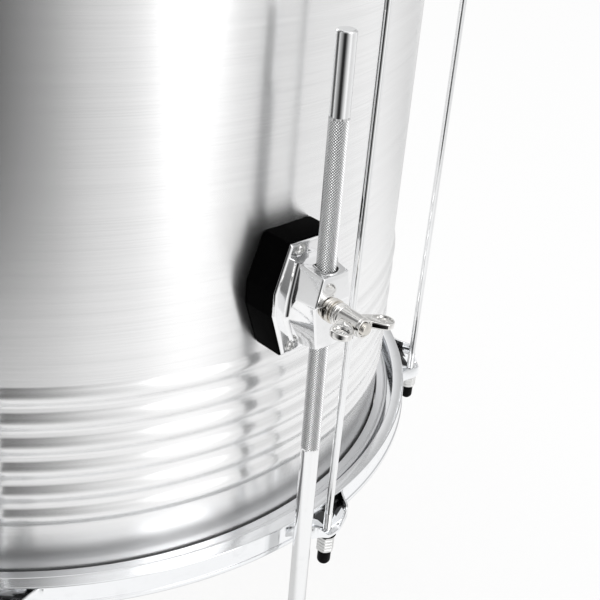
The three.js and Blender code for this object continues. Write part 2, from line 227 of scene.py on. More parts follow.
@dataclass(frozen=True)
class Finish:
    """What all finishes share: a surface of one colour, gloss and metal."""

    name: str
    slot: str
    colour: Colour
    roughness: float
    metallic: float = 1.0
    index: float = 1.45

    def make(self) -> bpy.types.Material:
        """Builds the material on its first use and gives the same one afterwards.

        Returns:
            The material.
        """
        ready = bpy.data.materials.get(self.name)
        if ready is not None:
            return ready
        material = bpy.data.materials.new(self.name)
        material.use_nodes = True
        material.diffuse_color = paint(self.colour)
        bench = Bench(material.node_tree)
        shader = bench.tree.nodes["Principled BSDF"]
        bench.fill(shader.inputs["Base Color"], paint(self.colour))
        bench.fill(shader.inputs["Roughness"], self.roughness)
        bench.fill(shader.inputs["Metallic"], self.metallic)
        bench.fill(shader.inputs["IOR"], self.index)
        self.dress(bench, shader)
        return material

    def dress(self, bench: Bench, shader: bpy.types.Node) -> None:
        """Adds what is particular to one kind of finish; the plain one adds nothing."""

    def shades(self, bench: Bench, mask: Signal, depth: float) -> Signal:
        """Colour that darkens from the finish's own by a share of it where the mask is high.

        Args:
            bench: The bench of the material.
            mask: From 0 to 1.
            depth: The share of brightness lost at 1.

        Returns:
            The colour.
        """
        return bench.blend(mask, paint(self.colour), paint(self.colour, 1 - depth))


@dataclass(frozen=True)
class Brushed(Finish):
    """Metal brushed around the drum, with streaks that follow its own UV map in metres."""

    anisotropy: float = 0.9
    grain_turn: float = 0.25
    streak_length: float = 0.09
    streak_width: float = 0.0007
    broad_length: float = 0.36
    broad_width: float = 0.0063
    fine_share: float = 0.6
    haze: float = 0.04
    shade_span: Span = (0.35, 0.75)
    shade_depth: float = 0.08
    scratch: float = 0.00001
    scratch_strength: float = 0.12

    def dress(self, bench: Bench, shader: bpy.types.Node) -> None:
        """Stretches noise along the brushing and drives colour, gloss and a faint bump with it."""
        place = bench.map_place()
        fine = self._streaks(bench, place, self.streak_length, self.streak_width)
        broad = self._streaks(bench, place, self.broad_length, self.broad_width)
        streaks = fine * self.fine_share + broad * (1 - self.fine_share)
        shaded = self.shades(bench, streaks.ramp(*self.shade_span), self.shade_depth)
        shader.inputs["Anisotropic"].default_value = self.anisotropy
        shader.inputs["Anisotropic Rotation"].default_value = self.grain_turn
        bench.fill(shader.inputs["Base Color"], shaded)
        bench.fill(shader.inputs["Roughness"], streaks * self.haze + (self.roughness - self.haze / 2))
        bench.bump(shader, fine, self.scratch_strength, self.scratch)

    @staticmethod
    def _streaks(bench: Bench, place: bpy.types.NodeSocket, length: float, width: float) -> Signal:
        """Noise whose grain is length long and width wide, in metres."""
        scaled = bench.vector("MULTIPLY", place, (1 / length, 1 / width, 1.0))
        return bench.noise(scaled, size=1.0, detail=2.0, roughness=0.6)


@dataclass(frozen=True)
class Plated(Finish):
    """Bright plating with a little haze and the faint ripple of the metal under it."""

    haze: float = 0.05
    haze_size: float = 0.012
    haze_span: Span = (0.5, 0.8)
    ripple: float = 0.00002
    ripple_size: float = 0.006
    ripple_strength: float = 0.5
    shade_depth: float = 0.06
    painted_shade_tone: float = 0.06
    shade_mark_edge: float = 0.1

    def dress(self, bench: Bench, shader: bpy.types.Node) -> None:
        """Drives gloss and tone with slow noise and the normal with a finer one.

        Faces inside hollows, marked by a V above the shade mark's level in their UV map, get
        painted shade: a dark tone in place of the plating.
        """
        place = bench.object_place()
        haze = bench.noise(place, self.haze_size, detail=4.0, roughness=0.65)
        ripple = bench.noise(place, self.ripple_size, detail=1.0)
        plated = self.shades(bench, haze.ramp(*self.haze_span), self.shade_depth)
        # Painted shade: faces marked inside hollows take a dark tone.
        hollow = bench.parts(bench.map_place())[1].ramp(SHADE_MARK_V, SHADE_MARK_V + self.shade_mark_edge)
        tone = bench.blend(hollow, plated, paint(self.colour, self.painted_shade_tone))
        bench.fill(shader.inputs["Base Color"], tone)
        bench.fill(shader.inputs["Roughness"], haze * self.haze + self.roughness)
        bench.bump(shader, ripple, self.ripple_strength, self.ripple)


@dataclass(frozen=True)
class Knurled(Plated):
    """Bright plating whose knurl, marked by its own UV map, has painted shade between the diamonds' tips."""

    valley_shade_tone: float = 0.2
    valley_floor: float = -0.9
    tip_size: float = 0.1
    facet_roughness: float = 0.3

    def dress(self, bench: Bench, shader: bpy.types.Node) -> None:
        """Paints shade into the knurl's valleys by a lattice mask and gives it a duller gloss.

        With U and V counting half diamonds, cos(pi U) cos(pi V) is 1 at each tip and -1 in each
        valley. V is below zero off the knurl.
        """
        super().dress(bench, shader)
        across, along = bench.parts(bench.map_place())[:2]
        lattice = (across * math.pi).cosine() * (along * math.pi).cosine()
        knurl = along.ramp(-0.5, 0.0)
        # Painted shade: the valleys between the diamonds' tips take a dark tone.
        valley = (1 - lattice.ramp(self.valley_floor, self.tip_size)) * knurl
        smooth = Signal(bench, shader.inputs["Roughness"].links[0].from_socket)
        bench.fill(shader.inputs["Roughness"], smooth * (1 - knurl) + knurl * self.facet_roughness)
        plated = shader.inputs["Base Color"].links[0].from_socket
        shaded = bench.blend(valley, plated, paint(self.colour, self.valley_shade_tone))
        bench.fill(shader.inputs["Base Color"], shaded)


@dataclass(frozen=True)
class Moulded(Finish):
    """Black rubber or plastic with a fine matt grain and pale dust on it."""

    metallic: float = 0.0
    grain_size: float = 0.0007
    grain_height: float = 0.00003
    grain_strength: float = 0.6
    dust: float = 0.25
    dust_tone: float = 0.1
    dust_size: float = 0.009
    dust_span: Span = (0.45, 0.8)
    dust_roughness: float = 0.12

    def dress(self, bench: Bench, shader: bpy.types.Node) -> None:
        """Drives the normal with the grain, and tone and gloss with the dust."""
        place = bench.object_place()
        grain = bench.noise(place, self.grain_size, detail=3.0)
        dusty = bench.noise(place, self.dust_size, detail=6.0, roughness=0.7).ramp(*self.dust_span)
        red, green, blue = (channel + self.dust * self.dust_tone for channel in self.colour)
        tone = bench.blend(dusty, paint(self.colour), paint((red, green, blue)))
        bench.fill(shader.inputs["Base Color"], tone)
        bench.fill(shader.inputs["Roughness"], dusty * self.dust_roughness + self.roughness)
        bench.bump(shader, grain, self.grain_strength, self.grain_height)


@dataclass(frozen=True)
class Film(Finish):
    """White drumhead film, a little cloudy, with a soft satin gloss and painted shade on its collar."""

    metallic: float = 0.0
    cloud_size: float = 0.06
    cloud_span: Span = (0.4, 0.75)
    cloud_depth: float = 0.05
    cloud_roughness: float = 0.12
    tooth_size: float = 0.000625
    tooth_height: float = 0.00003
    tooth_strength: float = 0.25
    collar_radius: float = 0.2795
    collar_edge: float = 0.0002
    collar_shade_tone: float = 0.03

    def dress(self, bench: Bench, shader: bpy.types.Node) -> None:
        """Clouds the colour and gloss with slow noise, adds a fine tooth and paints shade on the collar."""
        place = bench.object_place()
        cloud = bench.noise(place, self.cloud_size, detail=5.0, roughness=0.6)
        tooth = bench.noise(place, self.tooth_size, detail=2.0)
        beside = bench.vector("SUBTRACT", place, tuple(Drum.axis * MM))
        radius = bench.length(bench.vector("MULTIPLY", beside, (1.0, 1.0, 0.0)))
        # Painted shade: the collar up inside the flesh hoop is dark, so the gap there reads black.
        collar = radius.ramp(self.collar_radius - self.collar_edge, self.collar_radius)
        clouded = self.shades(bench, cloud.ramp(*self.cloud_span), self.cloud_depth)
        dark = (self.collar_shade_tone, self.collar_shade_tone, self.collar_shade_tone, 1.0)
        bench.fill(shader.inputs["Base Color"], bench.blend(collar, clouded, dark))
        bench.fill(shader.inputs["Roughness"], cloud * self.cloud_roughness + self.roughness)
        bench.bump(shader, tooth, self.tooth_strength, self.tooth_height)


SHELL_SHEET = Brushed("brushed_sheet", "shell_sheet", (0.99, 0.99, 0.992), 0.26)
HOOP_RING = Brushed("satin_ring", "flesh_hoop_metal", (0.9, 0.91, 0.925), 0.3, anisotropy=0.5)
HOOP_CHROME = Plated("hoop_chrome", "hoop_metal", (0.94, 0.95, 0.965), 0.09, haze=0.06)
LEG_CHROME = Knurled("leg_chrome", "rod_metal", (0.94, 0.945, 0.95), 0.06)
ROD_CHROME = Plated("rod_chrome", "rod_metal", (0.94, 0.945, 0.95), 0.06)
BRACKET_CHROME = Plated("cast_chrome", "bracket_chrome", (0.96, 0.962, 0.968), 0.04, ripple=0.00003)
NICKEL = Plated("wing_nickel", "bracket_chrome", (0.87, 0.86, 0.84), 0.07, haze=0.05, shade_depth=0.12)
STUD_ZINC = Plated("warm_zinc", "nut_metal", (0.78, 0.75, 0.7), 0.2, haze=0.1, shade_depth=0.2)
ZINC = Plated("bright_zinc", "nut_metal", (0.82, 0.82, 0.81), 0.26, haze=0.12, shade_depth=0.15)
RUBBER = Moulded("soft_rubber", "black_rubber", (0.001, 0.001, 0.0011), 0.6, index=1.08, dust=0.01)
PLASTIC = Moulded("hard_plastic", "black_plastic", (0.0015, 0.0015, 0.0016), 0.35, index=1.15,
                  grain_height=0.00002, dust=0.05)
HEAD_FILM = Film("drumhead_film", "head_film", (0.9, 0.89, 0.86), 0.42)


@dataclass
class Surface:
    """A mesh held as whole arrays: corner positions, and faces with a UV pair at each corner."""

    points: Points
    quads: Corners
    tris: Corners
    quad_uv: Points
    tri_uv: Points

    def flipped(self) -> "Surface":
        """The same surface with its faces turned over."""
        return Surface(self.points, self.quads[:, ::-1], self.tris[:, ::-1],
                       self.quad_uv[:, ::-1], self.tri_uv[:, ::-1])

    def outward(self) -> "Surface":
        """A closed surface turned so that its faces point out.

        The signed volume is the sum of a . (b x c) / 6 over all triangles, and is positive when
        they do.

        Returns:
            This surface or the flipped one.
        """
        fans = np.concatenate([self.quads[:, [0, 1, 2]], self.quads[:, [0, 2, 3]], self.tris])
        a, b, c = (self.points[fans[:, k]] - self.points.mean(axis=0) for k in range(3))
        volume = np.einsum("ij,ij->", a, np.cross(b, c)) / 6
        return self if volume > 0 else self.flipped()

    def moved(self, matrix: Points) -> "Surface":
        """Carries the points through a 4 by 4 matrix, and keeps the faces pointing out.

        Args:
            matrix: Turning and shifting, or mirroring, about the drum's axis.

        Returns:
            The moved surface.
        """
        points = self.points @ matrix[:3, :3].T + matrix[:3, 3]
        carried = Surface(points, self.quads, self.tris, self.quad_uv, self.tri_uv)
        return carried if np.linalg.det(matrix[:3, :3]) > 0 else carried.flipped()

    def centres(self) -> Points:
        """The middle of each quad."""
        return self.points[self.quads].mean(axis=1)

    def mark_painted_shade(self, quads: NDArray[np.bool_]) -> None:
        """Marks quads inside a hollow for painted shade, by a V above the shade mark's level.

        Args:
            quads: True for each quad that is marked.
        """
        # Painted shade: the plated finish paints the marked quads dark.
        self.quad_uv[quads, :, 1] += 2 * SHADE_MARK_V

    def mesh(self, name: str, crease: float) -> bpy.types.Mesh:
        """Writes the arrays into a mesh, smooth except at edges sharper than the crease.

        Args:
            name: The mesh's name.
            crease: The least angle of a sharp edge, in degrees.

        Returns:
            The mesh, in metres.
        """
        mesh = bpy.data.meshes.new(name)
        mesh.vertices.add(len(self.points))
        mesh.vertices.foreach_set("co", self.points.ravel())
        loops = np.concatenate([self.quads.ravel(), self.tris.ravel()])
        mesh.loops.add(len(loops))
        mesh.loops.foreach_set("vertex_index", loops.astype(np.int32))
        sizes = np.concatenate([np.full(len(self.quads), 4), np.full(len(self.tris), 3)])
        mesh.polygons.add(len(sizes))
        mesh.polygons.foreach_set("loop_start", (np.cumsum(sizes) - sizes).astype(np.int32))
        mesh.polygons.foreach_set("use_smooth", np.ones(len(sizes), bool))
        layer = mesh.uv_layers.new(name=SURFACE_MAP)
        places = np.concatenate([self.quad_uv.reshape(-1, 2), self.tri_uv.reshape(-1, 2)])
        layer.uv.foreach_set("vector", places.ravel())
        mesh.update(calc_edges=True)
        mesh.validate()
        mesh.set_sharp_from_angle(angle=math.radians(crease))
        return mesh


def joined(parts: list[Surface]) -> Surface:
    """Puts several surfaces in one, with the corner numbers shifted along."""
    shifts = np.cumsum([0] + [len(part.points) for part in parts[:-1]])
    return Surface(
        np.concatenate([part.points for part in parts]),
        np.concatenate([part.quads + shift for part, shift in zip(parts, shifts)]),
        np.concatenate([part.tris + shift for part, shift in zip(parts, shifts)]),
        np.concatenate([part.quad_uv for part in parts]),
        np.concatenate([part.tri_uv for part in parts]))


def lofted(rings: Points, start: Points | None = None, end: Points | None = None) -> Surface:
    """Skins a stack of rings with equal numbers of points.

    Point (i, j) joins (i, j+1) and (i+1, j). Without end points the last ring joins the first, as
    on a tube bent into a loop; an end point closes its end with a fan. U is the distance around
    the longest ring and V the mean distance from ring to ring, in metres.

    Args:
        rings: Points by ring and by place around, in millimetres.
        start: The point that closes the first ring, or None.
        end: The point that closes the last ring, or None.

    Returns:
        A closed surface with its faces pointing out.
    """
    rows, columns = rings.shape[:2]
    loop = start is None
    row = np.arange(rows if loop else rows - 1)[:, None]
    column = np.arange(columns)[None, :]
    below, above = row, (row + 1) % rows
    here, there = column, (column + 1) % columns
    grid = np.broadcast_arrays(below * columns + here, below * columns + there,
                               above * columns + there, above * columns + here)
    quads = np.stack(grid, axis=-1).reshape(-1, 4)
    sides = np.linalg.norm(np.roll(rings, -1, axis=1) - rings, axis=2)
    around = np.concatenate([[0.0], np.cumsum(sides[np.argmax(sides.sum(axis=1))])]) * MM
    steps = np.linalg.norm(np.roll(rings, -1, axis=0) - rings, axis=2).mean(axis=1)
    along = np.concatenate([[0.0], np.cumsum(steps)]) * MM
    left, right = around[column], around[column + 1]
    low, high = along[row], along[row + 1]
    corners = [np.stack(np.broadcast_arrays(u, v), axis=-1) for u, v in
               ((left, low), (right, low), (right, high), (left, high))]
    quad_uv = np.stack(corners, axis=2).reshape(-1, 4, 2)
    points = [rings.reshape(-1, 3)]
    tris, tri_uv = [np.zeros((0, 3), int)], [np.zeros((0, 3, 2))]
    for tip, edge, level in ((start, 0, along[0]), (end, rows - 1, along[rows - 1])):
        if tip is None:
            continue
        number = rows * columns + len(points) - 1
        points.append(np.asarray(tip, float).reshape(1, 3))
        first, second = (there, here) if edge == 0 else (here, there)
        fan = np.broadcast_arrays(np.full_like(here, number), edge * columns + first, edge * columns + second)
        tris.append(np.stack(fan, axis=-1).reshape(-1, 3))
        flat = np.stack([(left + right) / 2, left, right], axis=-1).reshape(-1, 3)
        tri_uv.append(np.stack([flat, np.full_like(flat, level)], axis=-1))
    surface = Surface(np.concatenate(points), quads, np.concatenate(tris), quad_uv, np.concatenate(tri_uv))
    return surface.outward()


def revolved(profile: Points, segments: int, ripple: Points | None = None) -> Surface:
    """Turns a profile about the Z axis.

    Point (i, j) is ((r + w) cos a, (r + w) sin a, z) with r and z of the profile, w the ripple
    and a = j turns / segments. A profile that starts on the axis is closed by its two poles, and
    any other one joins up with itself.

    Args:
        profile: Radius and height pairs, in millimetres.
        segments: The number of steps around.
        ripple: What is added to the radius, by row off the axis and by step, or None.

    Returns:
        The closed surface.
    """
    poles = profile[:, 0] < 1e-9
    body = profile[~poles]
    angle = steps_round(segments)
    radius = body[:, :1] + (np.zeros((1, segments)) if ripple is None else ripple)
    rings = np.stack([radius * np.cos(angle), radius * np.sin(angle),
                      np.broadcast_to(body[:, 1:], radius.shape)], axis=-1)
    start = np.array([0, 0, profile[0, 1]]) if poles[0] else None
    end = np.array([0, 0, profile[-1, 1]]) if poles[-1] else None
    return lofted(rings, start, end)


def turned(heights: Points, radius: Points, solid: bool = True) -> Surface:
    """A turning whose radius is given at each height and step around.

    Args:
        heights: The height of each row, in millimetres.
        radius: The radius by row and by step around.
        solid: Whether its ends are closed; otherwise its last row joins its first.

    Returns:
        The closed surface.
    """
    profile = np.stack([np.ones_like(heights), heights], axis=1)
    if solid:
        profile = np.concatenate([[[0, heights[0]]], profile, [[0, heights[-1]]]])
    return revolved(profile, radius.shape[1], radius - 1)


def steps_round(count: int) -> Points:
    """The angles of a number of equal steps round a turn."""
    return np.arange(count) * TURN / count


def thread_ridge(heights: Points, pitch: float, angle: Points) -> Points:
    """A thread's ridge, from 0 at its root to 1 at its crest, by height and by angle.

    It is |1 - 2 frac(z / p - a / turn)|, which climbs one pitch p a turn, made steeper and held
    between 0 and 1 for a flat root and crest.

    Args:
        heights: The height of each row, in millimetres.
        pitch: The thread's pitch.
        angle: The angles around.

    Returns:
        The ridge.
    """
    turns = heights[:, None] / pitch - angle / TURN
    return np.clip(THREAD_SLOPE * np.abs(1 - 2 * (turns - np.floor(turns))) - THREAD_FLAT, 0, 1)


def hexagon(flats: float, angle: Points) -> Points:
    """Radius of a hexagon at each angle: half the flats over the cosine from a flat's middle."""
    return flats / 2 / np.cos((angle % (TURN / 6)) - TURN / 12)


def rounded(corners: Points, radii: Points | tuple[float, ...] | float, steps: int = 4) -> Points:
    """Rounds the corners of a closed outline.

    Each corner c becomes the curve (1-t)^2 p + 2t(1-t) c + t^2 q between the points p and q where
    a circle of its radius would touch the two sides, kept within half of each side.

    Args:
        corners: The outline's corners in order.
        radii: The radius at each corner, or one for all.
        steps: The number of steps along each curve.

    Returns:
        The outline's points in order.
    """
    before = np.roll(corners, 1, axis=0) - corners
    after = np.roll(corners, -1, axis=0) - corners
    back = np.linalg.norm(before, axis=1, keepdims=True)
    ahead = np.linalg.norm(after, axis=1, keepdims=True)
    before, after = before / back, after / ahead
    half = np.arccos(np.clip(np.sum(before * after, axis=1, keepdims=True), -0.9999, 0.9999)) / 2
    reach = np.reshape(np.broadcast_to(radii, len(corners)), (-1, 1)) / np.tan(half)
    reach = np.minimum(reach, 0.48 * np.minimum(back, ahead))
    t = np.linspace(0, 1, steps + 1)[None, :, None]
    p, c, q = ((corners + side * reach)[:, None, :] for side in (before, 0, after))
    return ((1 - t) ** 2 * p + 2 * t * (1 - t) * c + t ** 2 * q).reshape(-1, corners.shape[1])


def smoothstep(value: Points) -> Points:
    """3t^2 - 2t^3 of a value held between 0 and 1."""
    t = np.clip(value, 0, 1)
    return t * t * (3 - 2 * t)


def turn_z(angle: float) -> Points:
    """Matrix of a turn about +Z, in radians."""
    return np.array(Matrix.Rotation(angle, 4, "Z"))


def shift(x: float, y: float, z: float) -> Points:
    """Matrix of a shift."""
    return np.array(Matrix.Translation((x, y, z)))


# Carries +Z to +X and +X to -Z.
OUT_FROM_UP = np.array([[0.0, 0, 1, 0], [0, 1, 0, 0], [-1, 0, 0, 0], [0, 0, 0, 1]])


@dataclass(frozen=True)
class Station:
    """A place on the drum where +X points away from the axis, read from a node's box."""

    angle: float
    reach: float
    low: float
    high: float

    @classmethod
    def of(cls, node: str) -> "Station":
        """Reads the station of a node whose box is square on its own upright axis.

        Args:
            node: The node's name.

        Returns:
            The angle about the drum's axis, the distance from it, and the node's levels.
        """
        low, high = Drum.box(node)
        middle = (low + high) / 2
        return cls(math.atan2(middle[1], middle[0]), math.hypot(middle[0], middle[1]), low[2], high[2])


class Drum:
    """The drum's axis, radius and edges, read from the frame in millimetres."""

    bead_rise = 2.0
    corners = [np.array(corner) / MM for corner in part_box("shell")]
    axis = (corners[0] + corners[1]) / 2 * np.array([1, 1, 0])
    radius = (corners[1][0] - corners[0][0]) / 2 - bead_rise
    bottom = corners[0][2]
    top = corners[1][2]

    @classmethod
    def box(cls, node: str) -> tuple[Points, Points]:
        """The lowest and highest corner of a node about the drum's axis."""
        low, high = (np.array(corner) / MM - cls.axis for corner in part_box(node))
        return low, high


class End(Enum):
    """The two ends of the drum."""

    BOTTOM = "bottom"
    TOP = "top"

    def matrix(self) -> Points:
        """Carries a ring from above a shell edge at zero to this end; the top one is mirrored."""
        if self is End.BOTTOM:
            return shift(0, 0, Drum.bottom)
        return shift(0, 0, Drum.top) @ np.diag([1.0, 1.0, -1.0, 1.0])


def add_piece(name: str, surface: Surface, finish: Finish, body: str, node: str | None = None,
              crease: float = 34.0) -> None:
    """Makes a surface a piece of the drum, in its place in the frame.

    Args:
        name: The piece's name.
        surface: Its shape about the drum's axis, in millimetres.
        finish: What it is made of.
        body: The body that it moves with.
        node: The node that it stands for, or None for a small fastener.
        crease: The least angle of an edge that stays sharp, in degrees.
    """
    seat = shift(*(Drum.axis * MM)) @ np.diag([MM, MM, MM, 1.0])
    seated = surface.moved(seat)
    piece = bpy.data.objects.new(name, seated.mesh(name, crease))
    piece.data.materials.append(finish.make())
    bpy.context.scene.collection.objects.link(piece)
    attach(piece, body)
    if node is not None:
        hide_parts(node)
    LOG.info("%s: %d points, %d faces", name, len(seated.points), len(seated.quads) + len(seated.tris))


@dataclass
class Shell:
    """The rolled sheet with its band of pressed beads near each edge."""

    wall: float = 1.6
    bead_count: int = 6
    bead_margin: float = 48.0
    bead_pitch: float = 18.1
    bead_height: float = 12.4
    foot_blend: float = 0.16
    bead_steps: int = 15
    plain_steps: int = 6
    segments: int = 240

    def bead_band(self) -> Points:
        """Radius and height along one band, counted from its shell edge.

        With t from -1 to 1 over a bead's height, its rise is that of a parabola, 1 - t^2, eased
        into the wall: (b + sqrt(b^2 + e^2)) / 2 of b = 1 - t^2, with e the foot's blend.

        Returns:
            The points from the outermost bead to the innermost.
        """
        reach = self.bead_pitch / self.bead_height
        t = np.linspace(-reach, reach, self.bead_steps + 2)[:-1]
        crest = 1 - t * t
        rise = (crest + np.sqrt(crest ** 2 + self.foot_blend ** 2)) / 2
        foot = np.sqrt((1 - reach ** 2) ** 2 + self.foot_blend ** 2) / 2 + (1 - reach ** 2) / 2
        rise = (rise - foot) / (rise.max() - foot)
        middles = self.bead_margin + self.bead_height / 2 + self.bead_pitch * np.arange(self.bead_count)
        heights = (middles[:, None] + t * self.bead_height / 2).ravel()
        radii = np.tile(Drum.radius + Drum.bead_rise * rise, self.bead_count)
        return np.stack([radii, heights], axis=1)

    def profile(self) -> Points:
        """The closed section of the sheet, up its outer face and down its bore."""
        depth = Drum.top - Drum.bottom
        band = self.bead_band()
        upper = band[::-1] * [1, -1] + [0, depth]
        plain = np.linspace(band[-1, 1], upper[0, 1], self.plain_steps + 2)[1:-1]
        middle = np.stack([np.full_like(plain, Drum.radius), plain], axis=1)
        edge = self.wall / 4
        bore = Drum.radius - self.wall
        return np.concatenate([
            [[bore + edge, 0], [Drum.radius - edge, 0], [Drum.radius, edge]], band, middle, upper,
            [[Drum.radius, depth - edge], [Drum.radius - edge, depth], [bore + edge, depth],
             [bore, depth - edge], [bore, depth / 2], [bore, edge]]])

    def build(self) -> None:
        """Turns the section about the drum's axis."""
        surface = revolved(self.profile(), self.segments).moved(shift(0, 0, Drum.bottom))
        add_piece("shell_sheet", surface, SHELL_SHEET, "drum", "shell")


@dataclass
class Head:
    """The film over one end, whose collar runs up inside the flesh hoop."""

    gap: float = 0.3
    film: float = 0.8
    collar: float = 7.0
    edge_round: float = 0.7
    edge_steps: int = 6
    spread_shares: tuple[float, ...] = (0.3, 0.6, 0.85, 0.97)
    segments: int = 192

    def profile(self) -> Points:
        """Half section from the axis under the film, up the collar and back inside it."""
        skin = Drum.radius + self.gap
        outer = skin + self.film
        under = -self.gap - self.film
        shares = np.array(self.spread_shares)
        corner = np.linspace(0, TURN / 4, self.edge_steps)
        bend = np.stack([outer - self.edge_round * (1 - np.sin(corner)),
                         under + self.edge_round * (1 - np.cos(corner))], axis=1)
        return np.concatenate([
            [[0, under]], np.stack([shares * outer, np.full_like(shares, under)], axis=1), bend,
            [[outer, self.collar], [skin, self.collar], [skin, -self.gap]],
            np.stack([shares[::-1] * skin, np.full_like(shares, -self.gap)], axis=1), [[0, -self.gap]]])

    def build(self, end: End) -> None:
        """Turns the section and puts it on one end."""
        surface = revolved(self.profile(), self.segments).moved(end.matrix())
        add_piece(f"{end.value}_head_film", surface, HEAD_FILM, "drum", f"{end.value}_head")


@dataclass
class FleshHoop:
    """The ring that holds the film's edge, with a fine raised rib near its outer edge."""

    inner: float = 1.7
    width: float = 9.3
    base: float = 3.0
    height: float = 9.0
    rib_inset: float = 3.0
    rib_width: float = 1.6
    rib_rise: float = 0.6
    rounds: tuple[float, ...] = (0.6, 0.6, 1.3, 0.5, 0.5, 0.5, 0.4)
    segments: int = 240

    def build(self, end: End) -> None:
        """Turns the rounded section and puts it on one end."""
        low, high = Drum.radius + self.inner, Drum.radius + self.inner + self.width
        rib = high - self.rib_inset
        face = self.base + self.height - self.rib_rise
        corners = np.array([
            [low, self.base], [high, self.base], [high, face], [rib + self.rib_width / 2, face],
            [rib, face + self.rib_rise], [rib - self.rib_width / 2, face], [low, face]])
        surface = revolved(rounded(corners, self.rounds), self.segments).moved(end.matrix())
        add_piece(f"{end.value}_flesh_ring", surface, HOOP_RING, "drum", f"{end.value}_flesh_hoop")


@dataclass
class Claw:
    """A pressed boat on the counterhoop's wall, whose floor the tension rod passes through."""

    half_length: float = 33.0
    shoulder_run: float = 16.0
    reach: float = 17.6
    nose_fall: float = 0.012
    sheet: float = 1.5
    edge_round: float = 0.45
    lip_inset: float = 0.18
    lip_drop: float = 0.135
    fillet_reach: float = 0.75
    fillet_inset: float = 0.3
    fillet_low: float = 0.1125
    fillet_side: float = 0.45
    keel_side: float = 0.075
    top: float = 16.8
    floor_height: float = 3.9
    rim: float = 0.9
    nose_half: float = 4.0
    saddle: float = 17.0
    flank_rise: float = 4.0
    flank_half: float = 15.0
    shade_reach: float = 7.5
    shade_side: float = 1.0
    shade_rows: tuple[int, int] = (5, 14)
    root_sink: float = 0.8
    hole_radius: float = 3.3
    rod_reach: float = 10.2
    steps: int = 64
    root_steps: int = 14

    def plan(self, inset: float) -> Points:
        """Plan of the boat as (reach, across), drawn in by an inset along its normals.

        The reach across y is S((h - |y|) / w) (r - k y^2): a nose of reach r that falls by k y^2,
        led into the hoop's wall by the smooth step S over the run w from each end h. The back of
        the loop runs along inside the wall.

        Args:
            inset: How far it is drawn in.

        Returns:
            The loop, counter-clockwise seen from above.
        """
        across = self.half_length * np.sin(np.linspace(-TURN / 4, TURN / 4, self.steps))
        lead = smoothstep((self.half_length - np.abs(across)) / self.shoulder_run)
        reach = lead * (self.reach - self.nose_fall * across ** 2)
        slope = np.gradient(reach, across)
        normal = np.stack([np.ones_like(slope), -slope], axis=1)
        normal /= np.linalg.norm(normal, axis=1, keepdims=True)
        front = np.stack([reach, across], axis=1) - inset * normal
        front[:, 0] = np.maximum(front[:, 0], -self.root_sink)
        back = np.linspace(front[-1, 1], front[0, 1], self.root_steps + 2)[1:-1]
        return np.concatenate([front, np.stack([np.full_like(back, -self.root_sink), back], axis=1)])

    def surface(self, hoop_radius: float) -> Surface:
        """The boat at +X: rings that run over its outer wall, rim, inner wall, floor and hole.

        A plan point (e, y) lies at the angle y / R and the distance R + e from the drum's axis,
        with R the hoop's radius. Towards the nose the rim falls from the hoop's lip, and the floor
        sinks to the level of the washer, both by smooth steps of |y| less the nose's half width.
        Faces inside the boat are marked for painted shade where they are near the hoop and on the
        side of +Y, where the boat's inside lies in shadow.

        Args:
            hoop_radius: The radius of the hoop's outer face.

        Returns:
            The closed surface, counted from the hoop's outer edge.
        """
        outer = self.plan(0)
        beside = np.abs(outer[:, 1]) - self.nose_half
        share = np.where(outer[:, 0] > 0, 1 - smoothstep(beside / (self.saddle - self.nose_half)), 0)
        under = self.floor_height + self.flank_rise * smoothstep(beside / (self.flank_half - self.nose_half))
        floor = under + self.sheet
        rim = self.top + share * (self.floor_height + self.sheet + self.rim - self.top)
        toward = np.arctan2(outer[:, 1], outer[:, 0] - self.rod_reach)
        hole = np.stack([self.rod_reach + self.hole_radius * np.cos(toward),
                         self.hole_radius * np.sin(toward)], axis=1)
        centre, inner = self.plan(self.sheet / 2), self.plan(self.sheet)
        sunk = self.plan(self.sheet + self.fillet_reach)
        half_way = (sunk + hole) / 2
        seat = np.full(len(outer), self.floor_height)
        rows = [
            (outer, under), (outer, rim - self.edge_round),
            (self.plan(self.lip_inset), rim - self.lip_drop), (centre, rim),
            (self.plan(self.sheet - self.lip_inset), rim - self.lip_drop),
            (inner, rim - self.edge_round), (inner, floor + self.fillet_side),
            (self.plan(self.sheet + self.fillet_inset), floor + self.fillet_low), (sunk, floor),
            (half_way, (floor + seat + self.sheet) / 2), (hole, seat + self.sheet), (hole, seat),
            (half_way, (under + seat) / 2), (sunk, under),
            (inner, under - self.keel_side), (inner, under - self.lip_drop),
            (centre, under - self.edge_round)]
        rings = []
        for loop, level in rows:
            angle = loop[:, 1] / hoop_radius
            distance = hoop_radius + loop[:, 0]
            rings.append(np.stack([distance * np.cos(angle), distance * np.sin(angle), level], axis=1))
        boat = lofted(np.array(rings))
        row = np.repeat(np.arange(len(rows)), len(outer))
        x, y = boat.centres()[:, :2].T
        # Painted shade: inside faces near the hoop, on the +Y side, are marked to be painted dark.
        inside = (row >= self.shade_rows[0]) & (row <= self.shade_rows[1])
        boat.mark_painted_shade(inside & (np.hypot(x, y) < hoop_radius + self.shade_reach) & (y > self.shade_side))
        return boat


